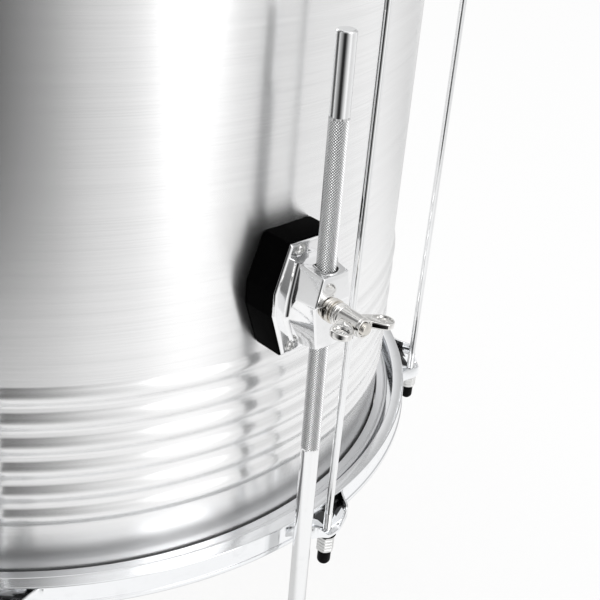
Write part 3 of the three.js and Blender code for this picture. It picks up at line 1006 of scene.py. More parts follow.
@dataclass
class Counterhoop:
    """The ring that presses on the flesh hoop: a wall, a lip, a flange and a rolled edge."""

    standoff: float = 24.0
    overhang: float = 0.6
    wall: float = 1.6
    height: float = 17.8
    lip_width: float = 9.2
    flange_inner: float = 1.4
    flange_top: float = 3.3
    roll_height: float = 3.8
    roll_rise: float = 0.8
    roll_ease: float = 0.2
    rounds: tuple[float, ...] = (0.6, 1.3, 1.3, 0.25, 1.1, 0.75, 0.5, 0.8, 0.8, 0.7, 0.7, 0.8)
    round_steps: int = 5
    segments: int = 240

    def profile(self) -> Points:
        """Rounded section, counted from the hoop's outer edge."""
        outer = Drum.radius + self.standoff
        inner = outer - self.wall
        lip = outer - self.lip_width
        press = Drum.radius + self.flange_inner
        under = self.height - self.wall
        corners = np.array([
            [inner, 0], [outer + self.roll_rise, 0],
            [outer + self.roll_rise, self.roll_height - self.roll_ease], [outer, self.roll_height],
            [outer, self.height], [lip, self.height], [lip, under], [inner, under],
            [inner, self.flange_top], [press, self.flange_top], [press, self.flange_top - self.wall],
            [inner, self.flange_top - self.wall]])
        return rounded(corners, self.rounds, self.round_steps)

    def build(self, end: End, rods: list[Station]) -> None:
        """Turns the section, adds a claw at each rod and puts the whole on one end."""
        claw = Claw().surface(Drum.radius + self.standoff)
        parts = [revolved(self.profile(), self.segments)]
        parts += [claw.moved(turn_z(rod.angle)) for rod in rods]
        surface = joined(parts).moved(end.matrix() @ shift(0, 0, -self.overhang))
        add_piece(f"{end.value}_hoop_and_claws", surface, HOOP_CHROME, "drum", f"{end.value}_counterhoop")


@dataclass
class TensionSet:
    """One full-length rod with its washer, nut and end cap."""

    number: int
    shank: float = 2.65
    crest: float = 3.0
    root: float = 2.6
    pitch: float = 1.0
    thread: float = 40.0
    thread_start: float = 0.6
    tip_radii: tuple[float, ...] = (2.2, 2.5)
    tip_levels: tuple[float, ...] = (0.0, 0.3)
    shank_steps: int = 8
    shank_gaps: Span = (0.5, 0.6)
    head_flats: float = 8.6
    head_height: float = 5.5
    flange_levels: tuple[float, ...] = (-0.3, 0.0, 0.3, 1.0, 1.3)
    flange_radii: tuple[float, ...] = (2.85, 4.9, 5.0, 5.0, 4.4)
    hex_start: float = 1.5
    hex_drops: tuple[float, ...] = (0.9, 0.4, 0.0)
    hex_limits: tuple[float, ...] = (4.8, 4.8, 4.5, 4.0)
    nut_flats: float = 11.6
    nut_corner: float = 6.5
    nut_end_inset: float = 0.5
    nut_end_slope: float = 1.6
    nut_rows: int = 61
    nut_around: int = 72
    bore: float = 3.3
    groove: float = 0.4
    groove_width: float = 0.32
    groove_shares: tuple[float, ...] = (0.2, 0.4, 0.6, 0.8)
    washer: float = 7.0
    washer_round: float = 0.7
    washer_around: int = 48
    cap_radius: float = 4.8
    cap_dome: float = 4.4
    cap_dome_steps: int = 9
    cap_rim: tuple[Span, ...] = ((0.0, 1.6), (0.25, 1.3), (0.1, 0.9), (0.1, 0.3), (0.4, 0.0))
    cap_gap: float = 0.3
    cap_around: int = 40
    around: int = 32

    @staticmethod
    def place(surface: Surface, station: Station, level: float) -> Surface:
        """Carries a surface from its own axis, and from zero to a level, to the rod's place."""
        return surface.moved(turn_z(station.angle) @ shift(station.reach, 0, level))

    def rod(self, length: float) -> Surface:
        """The threaded end, the shank and the six-sided head in one turning.

        Args:
            length: From the threaded end to the top of the head.

        Returns:
            The rod, from zero.
        """
        neck = length - self.head_height
        thread = np.arange(self.thread_start, self.thread, self.pitch / THREAD_STEPS)
        below, above = self.shank_gaps
        shank = np.linspace(self.thread + below, neck - above, self.shank_steps)
        flange = neck + np.array(self.flange_levels)
        hexed = np.append(neck + self.hex_start, length - np.array(self.hex_drops))
        heights = np.concatenate([self.tip_levels, thread, shank, flange, hexed])
        angle = steps_round(self.around)
        radius = self.root + (self.crest - self.root) * thread_ridge(heights, self.pitch, angle)
        radius[heights >= self.thread] = self.shank
        radius[:len(self.tip_radii)] = np.array(self.tip_radii)[:, None]
        base = len(heights) - len(hexed) - len(flange)
        radius[base:base + len(flange)] = np.array(self.flange_radii)[:, None]
        radius[-len(hexed):] = np.minimum(hexagon(self.head_flats, angle), np.array(self.hex_limits)[:, None])
        return turned(heights, radius)

    def nut(self, height: float) -> Surface:
        """A six-sided nut with turned ends and grooves round it.

        The radius is the least of the hexagon's, the rounded corner's, and a cone's at each end,
        less a narrow bell at each groove.

        Args:
            height: The nut's height.

        Returns:
            The nut, from zero.
        """
        heights = np.linspace(0, height, self.nut_rows)
        flats = hexagon(self.nut_flats, steps_round(self.nut_around))
        from_end = np.minimum(heights, height - heights)
        cone = self.nut_flats / 2 - self.nut_end_inset + self.nut_end_slope * from_end
        places = np.array(self.groove_shares) * height
        cut = np.exp(-((heights[:, None] - places) / self.groove_width) ** 2).sum(axis=1)
        outer = np.minimum(np.minimum(flats, self.nut_corner), cone[:, None]) - self.groove * cut[:, None]
        radius = np.concatenate([outer, np.full((2, self.nut_around), self.bore)])
        return turned(np.concatenate([heights, [height, 0]]), radius, solid=False)

    def cap(self, height: float, pocket: float) -> Surface:
        """A soft cap with a domed end, turned down a little at its open rim.

        Args:
            height: The cap's height.
            pocket: The level of the pocket's floor.

        Returns:
            The cap, from zero.
        """
        outer = self.cap_radius
        angle = np.linspace(0, TURN / 4, self.cap_dome_steps)
        dome = np.stack([outer * np.sin(angle), self.cap_dome * (1 - np.cos(angle))], axis=1)
        rim = [outer, height] - np.array(self.cap_rim)
        hole = np.array([[self.bore, height], [self.bore, pocket], [0, pocket]])
        return revolved(np.concatenate([dome, rim, hole]), self.cap_around)

    def build(self) -> Station:
        """Makes the four pieces.

        Returns:
            The rod's station.
        """
        rod = Station.of(f"tension_rod_{self.number}")
        bar = self.place(self.rod(rod.high - rod.low), rod, rod.low)
        add_piece(f"rod_{self.number}_turned", bar, ROD_CHROME, "drum", f"tension_rod_{self.number}")
        washer = Station.of(f"washer_{self.number}")
        thick = washer.high - washer.low
        corners = np.array([[self.bore, 0], [self.washer, 0], [self.washer, thick], [self.bore, thick]])
        ring = revolved(rounded(corners, self.washer_round), self.washer_around)
        ring = self.place(ring, rod, washer.low)
        add_piece(f"washer_{self.number}_ring", ring, RUBBER, "drum", f"washer_{self.number}")
        nut = Station.of(f"tension_nut_{self.number}")
        hexed = self.place(self.nut(nut.high - nut.low), rod, nut.low)
        add_piece(f"nut_{self.number}_turned", hexed, ZINC, f"nut_body_{self.number}",
                  f"tension_nut_{self.number}", crease=24)
        cap = Station.of(f"end_cap_{self.number}")
        pocket = rod.low - cap.low - self.cap_gap
        domed = self.place(self.cap(cap.high - cap.low, pocket), rod, cap.low)
        add_piece(f"cap_{self.number}_dome", domed, PLASTIC, "drum", f"end_cap_{self.number}")
        return rod


@dataclass
class PlateScrew:
    """A domed screw head with a cross recess, over a thin washer."""

    radius: float = 3.1
    rise: float = 1.7
    flattening: float = 0.96
    slot_half: float = 0.5
    slot_reach: float = 1.9
    slot_edge: float = 0.35
    slot_depth: float = 1.1
    neck: float = 0.5
    washer_share: float = 1.25
    washer_height: float = 0.45
    first_ring: float = 0.16
    dome_rings: int = 12
    around: int = 64

    def surface(self) -> Surface:
        """The head and its washer, standing on zero.

        The head's height is that of an ellipse, h sqrt(1 - k (r/R)^2) with k its flattening, cut
        down inside two crossed slots whose edges are soft.

        Returns:
            The closed surface.
        """
        shares = np.concatenate([np.linspace(self.first_ring, 0.9, self.dome_rings), [0.96, 1.0]])
        angle = steps_round(self.around)
        x = self.radius * shares[:, None] * np.cos(angle)
        y = self.radius * shares[:, None] * np.sin(angle)
        dome = self.rise * np.sqrt(1 - shares ** 2 * self.flattening)[:, None]
        beside = np.minimum(np.abs(x), np.abs(y)) - self.slot_half
        beyond = np.maximum(np.abs(x), np.abs(y)) - self.slot_reach
        within, short = (1 - smoothstep(gap / self.slot_edge + 0.5) for gap in (beside, beyond))
        slots = within * short
        rings = np.stack([x, y, dome - self.slot_depth * slots], axis=-1)
        flat = rings[-1] * [1, 1, 0]
        wide = flat * self.washer_share
        under = np.stack([flat + [0, 0, self.neck], wide + [0, 0, self.washer_height], wide])
        pit = np.array([0, 0, self.rise - self.slot_depth])
        return lofted(np.concatenate([rings, under]), pit, np.zeros(3))


@dataclass
class Bracket:
    """A thick rubber pad and a cast plate, whose boss the leg passes through."""

    number: int
    gap: float = 0.3
    pad_thickness: float = 21.3
    pad_shares: tuple[float, ...] = (0.33, 0.66, 0.97)
    pad_back_lift: float = 0.5
    pad_round: float = 0.7
    pad_ease: float = 0.2
    plate_thickness: float = 1.8
    half_width: float = 29.5
    half_height: float = 39.5
    top_half_width: float = 18.9
    side_half_height: float = 8.1
    corner_ease: float = 0.9
    corner_steps: int = 3
    plate_inset: float = 0.9
    plate_back_inset: float = 0.4
    plate_back_round: float = 0.25
    plate_bevel: float = 2.0
    bevel_rise: float = 1.2
    bevel_marks: tuple[Span, ...] = (
        (0.0, 1.0), (0.15, 0.6), (0.45, 0.25), (0.8, 0.05), (1.0, 0.0), (1.5, 0.0))
    boss_front: float = 45.6
    boss_ledge: float = 1.2
    ledge_level: float = -0.02
    ledge_run: float = 0.05
    waist_blend: float = 0.035
    cove: float = 2.6
    corner: float = 1.3
    bend_steps: int = 6
    face_share: float = 0.85
    crown: float = 0.8
    crown_drop: float = 0.04
    front_widths: tuple[float, ...] = (10.4, 13.1, 15.2, 10.9)
    front_levels: tuple[float, ...] = (-26.5, -8.9, 3.6, 22.2)
    root_widths: tuple[float, ...] = (10.3, 18.6, 16.7, 12.6)
    root_levels: tuple[float, ...] = (-30.4, -11.4, 2.5, 25.7)
    level_marks: tuple[float, ...] = (-1.0, -0.42, 0.0, 1.0)
    level_runs: tuple[tuple[float, float, int], ...] = (
        (-1, -0.52, 5), (-0.48, -0.36, 7), (-0.31, -0.11, 4), (-0.07, 0.09, 11), (0.14, 1, 7))
    leg_reach: float = 36.6
    leg_hole: float = 6.65
    leg_lean: float = 0.01746
    hole_rim: float = 1.5
    hole_rise: float = 0.7
    hole_wall: float = 0.8
    hole_ease: float = 0.4
    end_rise: float = 0.5
    end_marks: tuple[Span, ...] = ((0.03, 0.25), (0.09, 0.42), (0.17, 0.5), (0.5, 0.5), (0.98, 0.5))
    bore_depth: float = 2.0
    shaded_bore_rows: int = 4
    screws: tuple[Span, ...] = ((-12.6, -33.0), (12.6, -33.0), (-10.7, 34.2), (10.7, 34.2))
    screw_turn: float = 0.4
    screw_step: float = 0.7

    @property
    def plate_back(self) -> float:
        """How far beyond the shell the plate begins: behind the pad, with a gap on each side."""
        return self.gap + self.pad_thickness + self.gap

    def octagon(self, inset: float) -> Points:
        """The pad's outline as (across, up), drawn in by an inset and with its corners eased."""
        corners = np.array([
            [self.top_half_width, -self.half_height], [self.half_width, -self.side_half_height],
            [self.half_width, self.side_half_height], [self.top_half_width, self.half_height]])
        loop = np.concatenate([corners, corners[::-1] * [-1, 1]])
        scale = 1 - inset / np.array([self.half_width, self.half_height])
        return rounded(loop * scale, self.corner_ease, self.corner_steps)

    @staticmethod
    def faced(outline: Points, reach: float | Points) -> Points:
        """Ring of an (across, up) outline at a reach beyond the shell."""
        x = np.broadcast_to(Drum.radius + reach, len(outline))
        return np.stack([x, outline[:, 0], outline[:, 1]], axis=1)

    def pad(self) -> Surface:
        """A block whose back lies on a cylinder round the shell: x = sqrt((R + gap)^2 - y^2)."""
        front = self.gap + self.pad_thickness
        hugged = Drum.radius + self.gap
        outline = self.octagon(0)
        backs = [(outline * share, 0.0) for share in self.pad_shares] + [(outline, self.pad_back_lift)]
        rings = [self.faced(loop, np.sqrt(hugged ** 2 - loop[:, 0] ** 2) - Drum.radius + lift)
                 for loop, lift in backs]
        rings += [self.faced(outline, front - self.pad_round),
                  self.faced(self.octagon(self.pad_ease), front - self.pad_ease),
                  self.faced(self.octagon(self.pad_round), front)]
        return lofted(np.array(rings), np.array([hugged, 0, 0]), np.array([Drum.radius + front, 0, 0]))

    def plate(self) -> Surface:
        """The cast plate with a bevelled front edge."""
        back = self.plate_back
        front = back + self.plate_thickness
        start = self.plate_inset
        rows = [(start + self.plate_back_inset, back), (start, back + self.plate_back_round)]
        rows += [(start + inward * self.plate_bevel, front - below * self.bevel_rise)
                 for inward, below in self.bevel_marks]
        rings = np.array([self.faced(self.octagon(inset), reach) for inset, reach in rows])
        return lofted(rings, np.array([Drum.radius + back, 0, 0]), np.array([Drum.radius + front, 0, 0]))

    def between(self, values: tuple[float, ...], level: Points) -> Points:
        """A width or height that runs straight from mark to mark, with eased bends.

        At each inner mark m the slope changes by s over a short curve: s (d + sqrt(d^2 + e^2)) / 2
        of d = v - m is added, with e the blend.

        Args:
            values: The value at each of the level marks, from the foot to the top.
            level: v of each section, from -1 at the foot to 1 at the top.

        Returns:
            The value at each section.
        """
        marks = np.array(self.level_marks)
        slopes = np.diff(values) / np.diff(marks)
        start = values[0] + slopes[0] * (level - marks[0])
        past = level[:, None] - marks[1:-1]
        bends = (past + np.sqrt(past ** 2 + self.waist_blend ** 2)) / 2
        return start + bends @ np.diff(slopes)

    def boss(self) -> Surface:
        """The boss as level sections, drawn from the foot to the top, bored for the leg.

        A section starts on the plate with a quarter-round cove, runs straight to a rounded front
        corner and across a slightly crowned front. The upper front stands proud of the lower one
        by a small ledge. Rings then run over the top face, down the bore and under the foot, and
        the bore's upper rows are marked for painted shade.

        Returns:
            The closed surface.
        """
        root = self.plate_back + self.plate_thickness / 2
        level = np.concatenate([np.linspace(*run) for run in self.level_runs])
        above = smoothstep((level - self.ledge_level) / self.ledge_run)
        front = self.boss_front - self.boss_ledge * (1 - above)
        front_half = self.between(self.front_widths, level)
        root_half = self.between(self.root_widths, level)
        half = self.half_section(root, front, front_half, root_half)
        section = np.concatenate([half * [1, -1], half[:, ::-1]], axis=1)
        share = np.clip((section[:, :, 0] - root) / (self.boss_front - root), 0, 1)
        at_root = np.interp(level, self.level_marks, self.root_levels)[:, None]
        at_front = np.interp(level, self.level_marks, self.front_levels)[:, None]
        heights = at_root + share * (at_front - at_root)
        sides = np.concatenate([section, heights[:, :, None]], axis=2)
        top = self.cap_rings(sides[-1], 1.0, root)
        foot = self.cap_rings(sides[0], -1.0, root)[::-1]
        rings = np.concatenate([foot, sides, top])
        rings[:, :, 0] += Drum.radius
        cast = lofted(rings)
        row = np.repeat(np.arange(len(rings)), rings.shape[1])
        # Painted shade: the bore's upper rows are marked to be painted dark.
        cast.mark_painted_shade(row >= len(rings) - self.shaded_bore_rows)
        return cast

    def half_section(self, root: float, front: Points, front_half: Points, root_half: Points) -> Points:
        """Half of each section, from the plate to the middle of the front.

        Args:
            root: Where the sections start.
            front: How far each one reaches.
            front_half: Its half width at the front.
            root_half: Its half width at the plate.

        Returns:
            (reach, across) by section and by place.
        """
        quarter = np.linspace(0, TURN / 4, self.bend_steps)[None, :]
        lean = ((root_half - front_half) / (front - root))[:, None]
        cove_x = root + self.cove * (1 - np.cos(quarter)) + self.plate_thickness / 2
        cove_x = np.broadcast_to(cove_x, (len(front), self.bend_steps))
        cove_y = root_half[:, None] - lean * (cove_x - root) + self.cove * (1 - np.sin(quarter))
        corner_x = front[:, None] - self.corner * (1 - np.sin(quarter)) - self.crown_drop
        corner_y = front_half[:, None] - self.corner * (1 - np.cos(quarter))
        across = np.linspace(self.face_share, 0.0, self.bend_steps)[None, :]
        face_x = front[:, None] + self.crown / 2 * (1 - across ** 2)
        face_y = across * (front_half[:, None] - self.corner)
        x = np.concatenate([np.full_like(cove_x[:, :1], root), cove_x, corner_x, face_x], axis=1)
        y = np.concatenate([cove_y[:, :1], cove_y, corner_y, face_y], axis=1)
        return np.stack([x, y], axis=2)

    def cap_rings(self, edge: Points, side: float, root: float) -> Points:
        """Rings from a boss's end edge over its end face to the bore, and half way down it.

        Args:
            edge: The last section's ring.
            side: 1 at the top and -1 at the foot.
            root: Where the sections start.

        Returns:
            The rings, outermost first.
        """
        end = -1 if side > 0 else 0
        levels = (self.root_levels[end], self.front_levels[end])
        bore = self.leg_reach - self.leg_lean * (levels[0] + levels[1]) / 2
        toward = np.arctan2(edge[:, 1], edge[:, 0] - bore)

        def ring(share: float, radius: float, rise: float) -> Points:
            """A ring between the edge and a circle round the bore, on the sloping face."""
            circle = np.stack([bore + radius * np.cos(toward), radius * np.sin(toward)], axis=1)
            flat = edge[:, :2] + share * (circle - edge[:, :2])
            slope = (flat[:, 0] - root) / (self.boss_front - root)
            height = levels[0] + slope * (levels[1] - levels[0]) + side * rise
            return np.concatenate([flat, height[:, None]], axis=1)

        collar = self.leg_hole + self.hole_rim
        rows = [ring(share, collar, rise) for share, rise in self.end_marks]
        lip = self.end_rise
        if side > 0:
            lip += self.hole_rise
            rows.append(ring(1, collar, self.end_rise + self.hole_rise * self.hole_wall))
            rows.append(ring(1, collar - self.hole_ease, lip))
        rows += [ring(1, self.leg_hole + self.hole_ease, lip), ring(1, self.leg_hole, lip - self.hole_ease)]
        down = rows[-1] - [bore - self.leg_reach, 0, 0]
        down[:, 2] = side * self.bore_depth
        return np.array(rows + [down])

    def build(self, station: Station, level: float) -> None:
        """Makes the pad, the casting and its four screws at a leg's station.

        Args:
            station: The leg's station.
            level: The height of the bracket's middle.
        """
        seat = turn_z(station.angle) @ shift(0, 0, level)
        pad = self.pad().moved(seat)
        add_piece(f"pad_{self.number}_block", pad, RUBBER, "drum", f"bracket_pad_{self.number}")
        casting = joined([self.plate(), self.boss()])
        add_piece(f"casting_{self.number}_cast", casting.moved(seat), BRACKET_CHROME, "drum",
                  f"bracket_casting_{self.number}", crease=30)
        head = PlateScrew().surface()
        front = Drum.radius + self.plate_back + self.plate_thickness
        for count, (across, up) in enumerate(self.screws, 1):
            spin = turn_z(self.screw_turn + self.screw_step * count)
            screw = head.moved(seat @ shift(front, across, up) @ OUT_FROM_UP @ spin)
            add_piece(f"plate_screw_{self.number}_{count}", screw, ZINC, "drum")


@dataclass
class Clamp:
    """The stud that clamps the leg, with its washer, spring washer and wing nut."""

    number: int
    stud: float = 3.9
    root: float = 3.3
    shank: float = 3.0
    pitch: float = 1.25
    start: float = 43.25
    reach: float = 75.5
    stud_end: float = 0.4
    stud_plain: float = 0.5
    stud_chamfer: float = 0.3
    stud_around: int = 32
    around: int = 56
    washer: float = 8.0
    washer_back: float = 45.95
    washer_thickness: float = 2.1
    washer_round: float = 0.35
    spring: float = 7.0
    spring_gap: float = 0.3
    spring_thickness: float = 2.1
    spring_round: float = 0.3
    spring_squash: float = 0.85
    spring_climb: float = 0.5
    spring_span: Span = (8.0, 352.0)
    spring_steps: int = 61
    spring_lift: float = 0.05
    spring_turn: float = 2.2
    hub: float = 6.8
    hub_tip: float = 6.4
    hub_length: float = 22.4
    hub_collar: float = 7.6
    hub_collar_length: float = 4.0
    hub_rounds: tuple[float, ...] = (
        0.2, 0.4, 0.2, 0.15, 0.15, 0.2, 0.4, 0.3, 0.3, 0.3, 0.3, 0.3, 0.5, 0.25, 0.2, 0.3)
    collar_step: float = 0.2
    collar_ease: float = 0.5
    collar_groove: tuple[float, ...] = (1.6, 2.0, 2.3, 2.7)
    tip_groove: tuple[float, ...] = (2.6, 2.2, 1.7, 1.4)
    tip_swell: float = 0.1
    tip_cut: float = 0.35
    bore: float = 4.2
    mouth: Span = (0.9, 0.6)
    mouth_depth: float = 0.9
    back: float = 50.8
    turn_deg: float = -7.0
    spread: float = 18.2
    sweep: float = 20.4
    lobe: float = 7.2
    wing_around: int = 72
    root_back: float = 10.4
    root_side: float = 2.0
    root_half: float = 6.0
    toward_hub: Span = (0.45, 0.89)
    neck_power: float = 1.6
    thickness: float = 4.6
    edge_round: float = 1.1
    edge_steps: int = 5
    edge_band: float = 1.0
    dish: float = 1.6
    dish_shift: Span = (0.3, 0.6)
    dish_border: Span = (2.0, 2.2)
    dish_marks: tuple[Span, ...] = ((1.08, 0.0), (1.0, 0.09375), (0.9, 0.8), (0.75, 1.0), (0.35, 0.9))
    dish_middle: float = 0.85
    # How far along the wing its edge wall is marked for painted shade.
    recess: float = 16.0

    def laid_out(self, surface: Surface, reach: float, turn: float = 0.0) -> Surface:
        """Lays a surface that stands on zero along +X, from a reach beyond the shell.

        Args:
            surface: The standing surface.
            reach: How far from the shell its foot comes to lie.
            turn: A turn about its own length first, in radians.

        Returns:
            The laid surface.
        """
        return surface.moved(shift(Drum.radius + reach, 0, 0) @ OUT_FROM_UP @ turn_z(turn))

    @staticmethod
    def square(bore: float, rim: float, height: float) -> Points:
        """A ring's square section as (radius, height), from zero up."""
        return np.array([[bore, 0], [rim, 0], [rim, height], [bore, height]])

    def stud_surface(self) -> Surface:
        """The threaded stud along +X, whose ridge climbs one pitch a turn, and its chamfered tip."""
        length, end = self.reach - self.start, self.stud_end
        thread = np.arange(2 * end, length - self.stud_plain, self.pitch / THREAD_STEPS)
        heights = np.concatenate([[0, end], thread, [length - end, length]])
        ridge = thread_ridge(heights, self.pitch, steps_round(self.stud_around))
        radius = self.root + (self.stud - self.root) * ridge
        radius[heights < self.washer_back - self.start] = self.shank
        radius[-1] = self.root - self.stud_chamfer
        return self.laid_out(turned(heights, radius), self.start)

    def washers(self) -> list[Surface]:
        """The flat washer, and the spring washer as a square wire bent into one split turn."""
        section = self.square(self.stud, self.washer, self.washer_thickness)
        flat = revolved(rounded(section, self.washer_round), self.around)
        section = self.square(self.stud + self.spring_gap, self.spring, self.spring_thickness)
        wire = rounded(section, self.spring_round, 2)
        sweep = np.linspace(*np.radians(self.spring_span), self.spring_steps)[:, None]
        climb = self.spring_climb * sweep / TURN
        rings = np.stack([wire[:, 0] * np.cos(sweep), wire[:, 0] * np.sin(sweep),
                          wire[:, 1] * self.spring_squash + climb], axis=-1)
        split = lofted(rings, rings[0].mean(axis=0), rings[-1].mean(axis=0))
        rise = self.washer_back + self.washer_thickness + self.spring_lift
        return [self.laid_out(flat, self.washer_back), self.laid_out(split, rise, self.spring_turn)]

    def hub_surface(self) -> Surface:
        """The tapered hub with a grooved collar and a turned rim at its tip, bored for the stud."""
        length, hub, tip, bore = self.hub_length, self.hub, self.hub_tip, self.bore
        outer, inner = self.hub_collar, self.hub_collar - self.collar_step
        groove, collar_end = self.collar_groove, self.hub_collar_length
        rim = [length - drop for drop in self.tip_groove]
        swell, waist = tip + self.tip_swell, tip - self.tip_cut
        mouth, throat = (bore + wider for wider in self.mouth)
        corners = np.array([
            [bore, 0], [outer, 0], [outer, groove[0]], [hub, groove[1]], [hub, groove[2]],
            [inner, groove[3]], [inner, collar_end], [hub, collar_end + self.collar_ease],
            [swell, rim[0]], [waist, rim[1]], [waist, rim[2]], [tip, rim[3]], [tip, length],
            [mouth, length], [throat, length - self.mouth_depth], [bore, length - self.mouth_depth]])
        return revolved(rounded(corners, self.hub_rounds, 3), self.around).moved(OUT_FROM_UP)

    def wing(self, side: float) -> Surface:
        """One swept wing: a rounded plate with a dished oval on each face.

        The outline runs from the hub to a lobe, the hull of a root and a circle. Rings shrink it
        about the lobe's middle by a half-round edge, and then dip into the dish. The edge's wall
        near the hub is marked for painted shade.

        Args:
            side: 1 for the wing towards +Y and -1 for the other.

        Returns:
            The wing, with the hub's back at zero.
        """
        angle = steps_round(self.wing_around) - TURN / 2
        toward = np.stack([np.cos(angle), np.sin(angle)], axis=1)
        centre = np.array([self.sweep, self.spread])
        lobe = centre + self.lobe * toward
        near = np.clip(-(toward @ np.array(self.toward_hub)), 0, 1) ** self.neck_power
        root = np.array([self.sweep - self.root_back, self.root_side])
        spine = root + toward[:, :1] * [self.root_half, 0.0]
        outline = lobe + near[:, None] * (spine - lobe)
        half = self.thickness / 2
        dish_centre = centre + self.dish_shift
        oval = dish_centre + toward * (self.lobe - np.array(self.dish_border))

        def ring(inset: float, height: float) -> Points:
            """The outline drawn in towards the lobe's middle, at a height."""
            pull = centre - outline
            step = inset / np.maximum(np.linalg.norm(pull, axis=1, keepdims=True), inset)
            flat = outline + pull * step
            return np.concatenate([flat, np.full((len(flat), 1), height)], axis=1)

        def dished(scale: float, height: float) -> Points:
            """The oval of the dish, scaled about its middle, at a height."""
            flat = dish_centre + (oval - dish_centre) * scale
            return np.concatenate([flat, np.full((len(flat), 1), height)], axis=1)

        bend = np.linspace(0, TURN / 4, self.edge_steps)
        edge = [ring(inset, half - drop) for inset, drop in
                self.edge_round * np.stack([1 - np.cos(bend), 1 - np.sin(bend)], axis=1)]
        edge += [dished(scale, half - self.dish * depth) for scale, depth in self.dish_marks]
        lower = [row * [1, 1, -1] for row in edge]
        rings = np.array(lower[::-1] + edge)
        tip = np.append(dish_centre, half - self.dish * self.dish_middle)
        surface = lofted(rings, tip * [1, 1, -1], tip)
        middle = surface.centres()
        side_wall = np.abs(middle[:, 2]) < half - self.edge_band
        # Painted shade: the edge's wall near the hub is marked to be painted dark.
        surface.mark_painted_shade(side_wall & (middle[:, 1] < self.recess))
        return surface.moved(np.diag([1.0, side, 1.0, 1.0]))

    def build(self, station: Station, level: float) -> None:
        """Makes the stud and the wing nut at a leg's station.

        Args:
            station: The leg's station.
            level: The height of the stud.
        """
        seat = turn_z(station.angle) @ shift(0, 0, level)
        stud = joined([self.stud_surface(), *self.washers()])
        add_piece(f"stud_{self.number}_set", stud.moved(seat), STUD_ZINC, "drum", f"clamp_stud_{self.number}")
        spin = np.array(Matrix.Rotation(math.radians(self.turn_deg), 4, "X"))
        nut = joined([self.hub_surface(), self.wing(1), self.wing(-1)])
        nut = nut.moved(seat @ shift(Drum.radius + self.back, 0, 0) @ spin)
        add_piece(f"wing_nut_{self.number}_cast", nut, NICKEL, f"wing_body_{self.number}",
                  f"wing_nut_{self.number}")


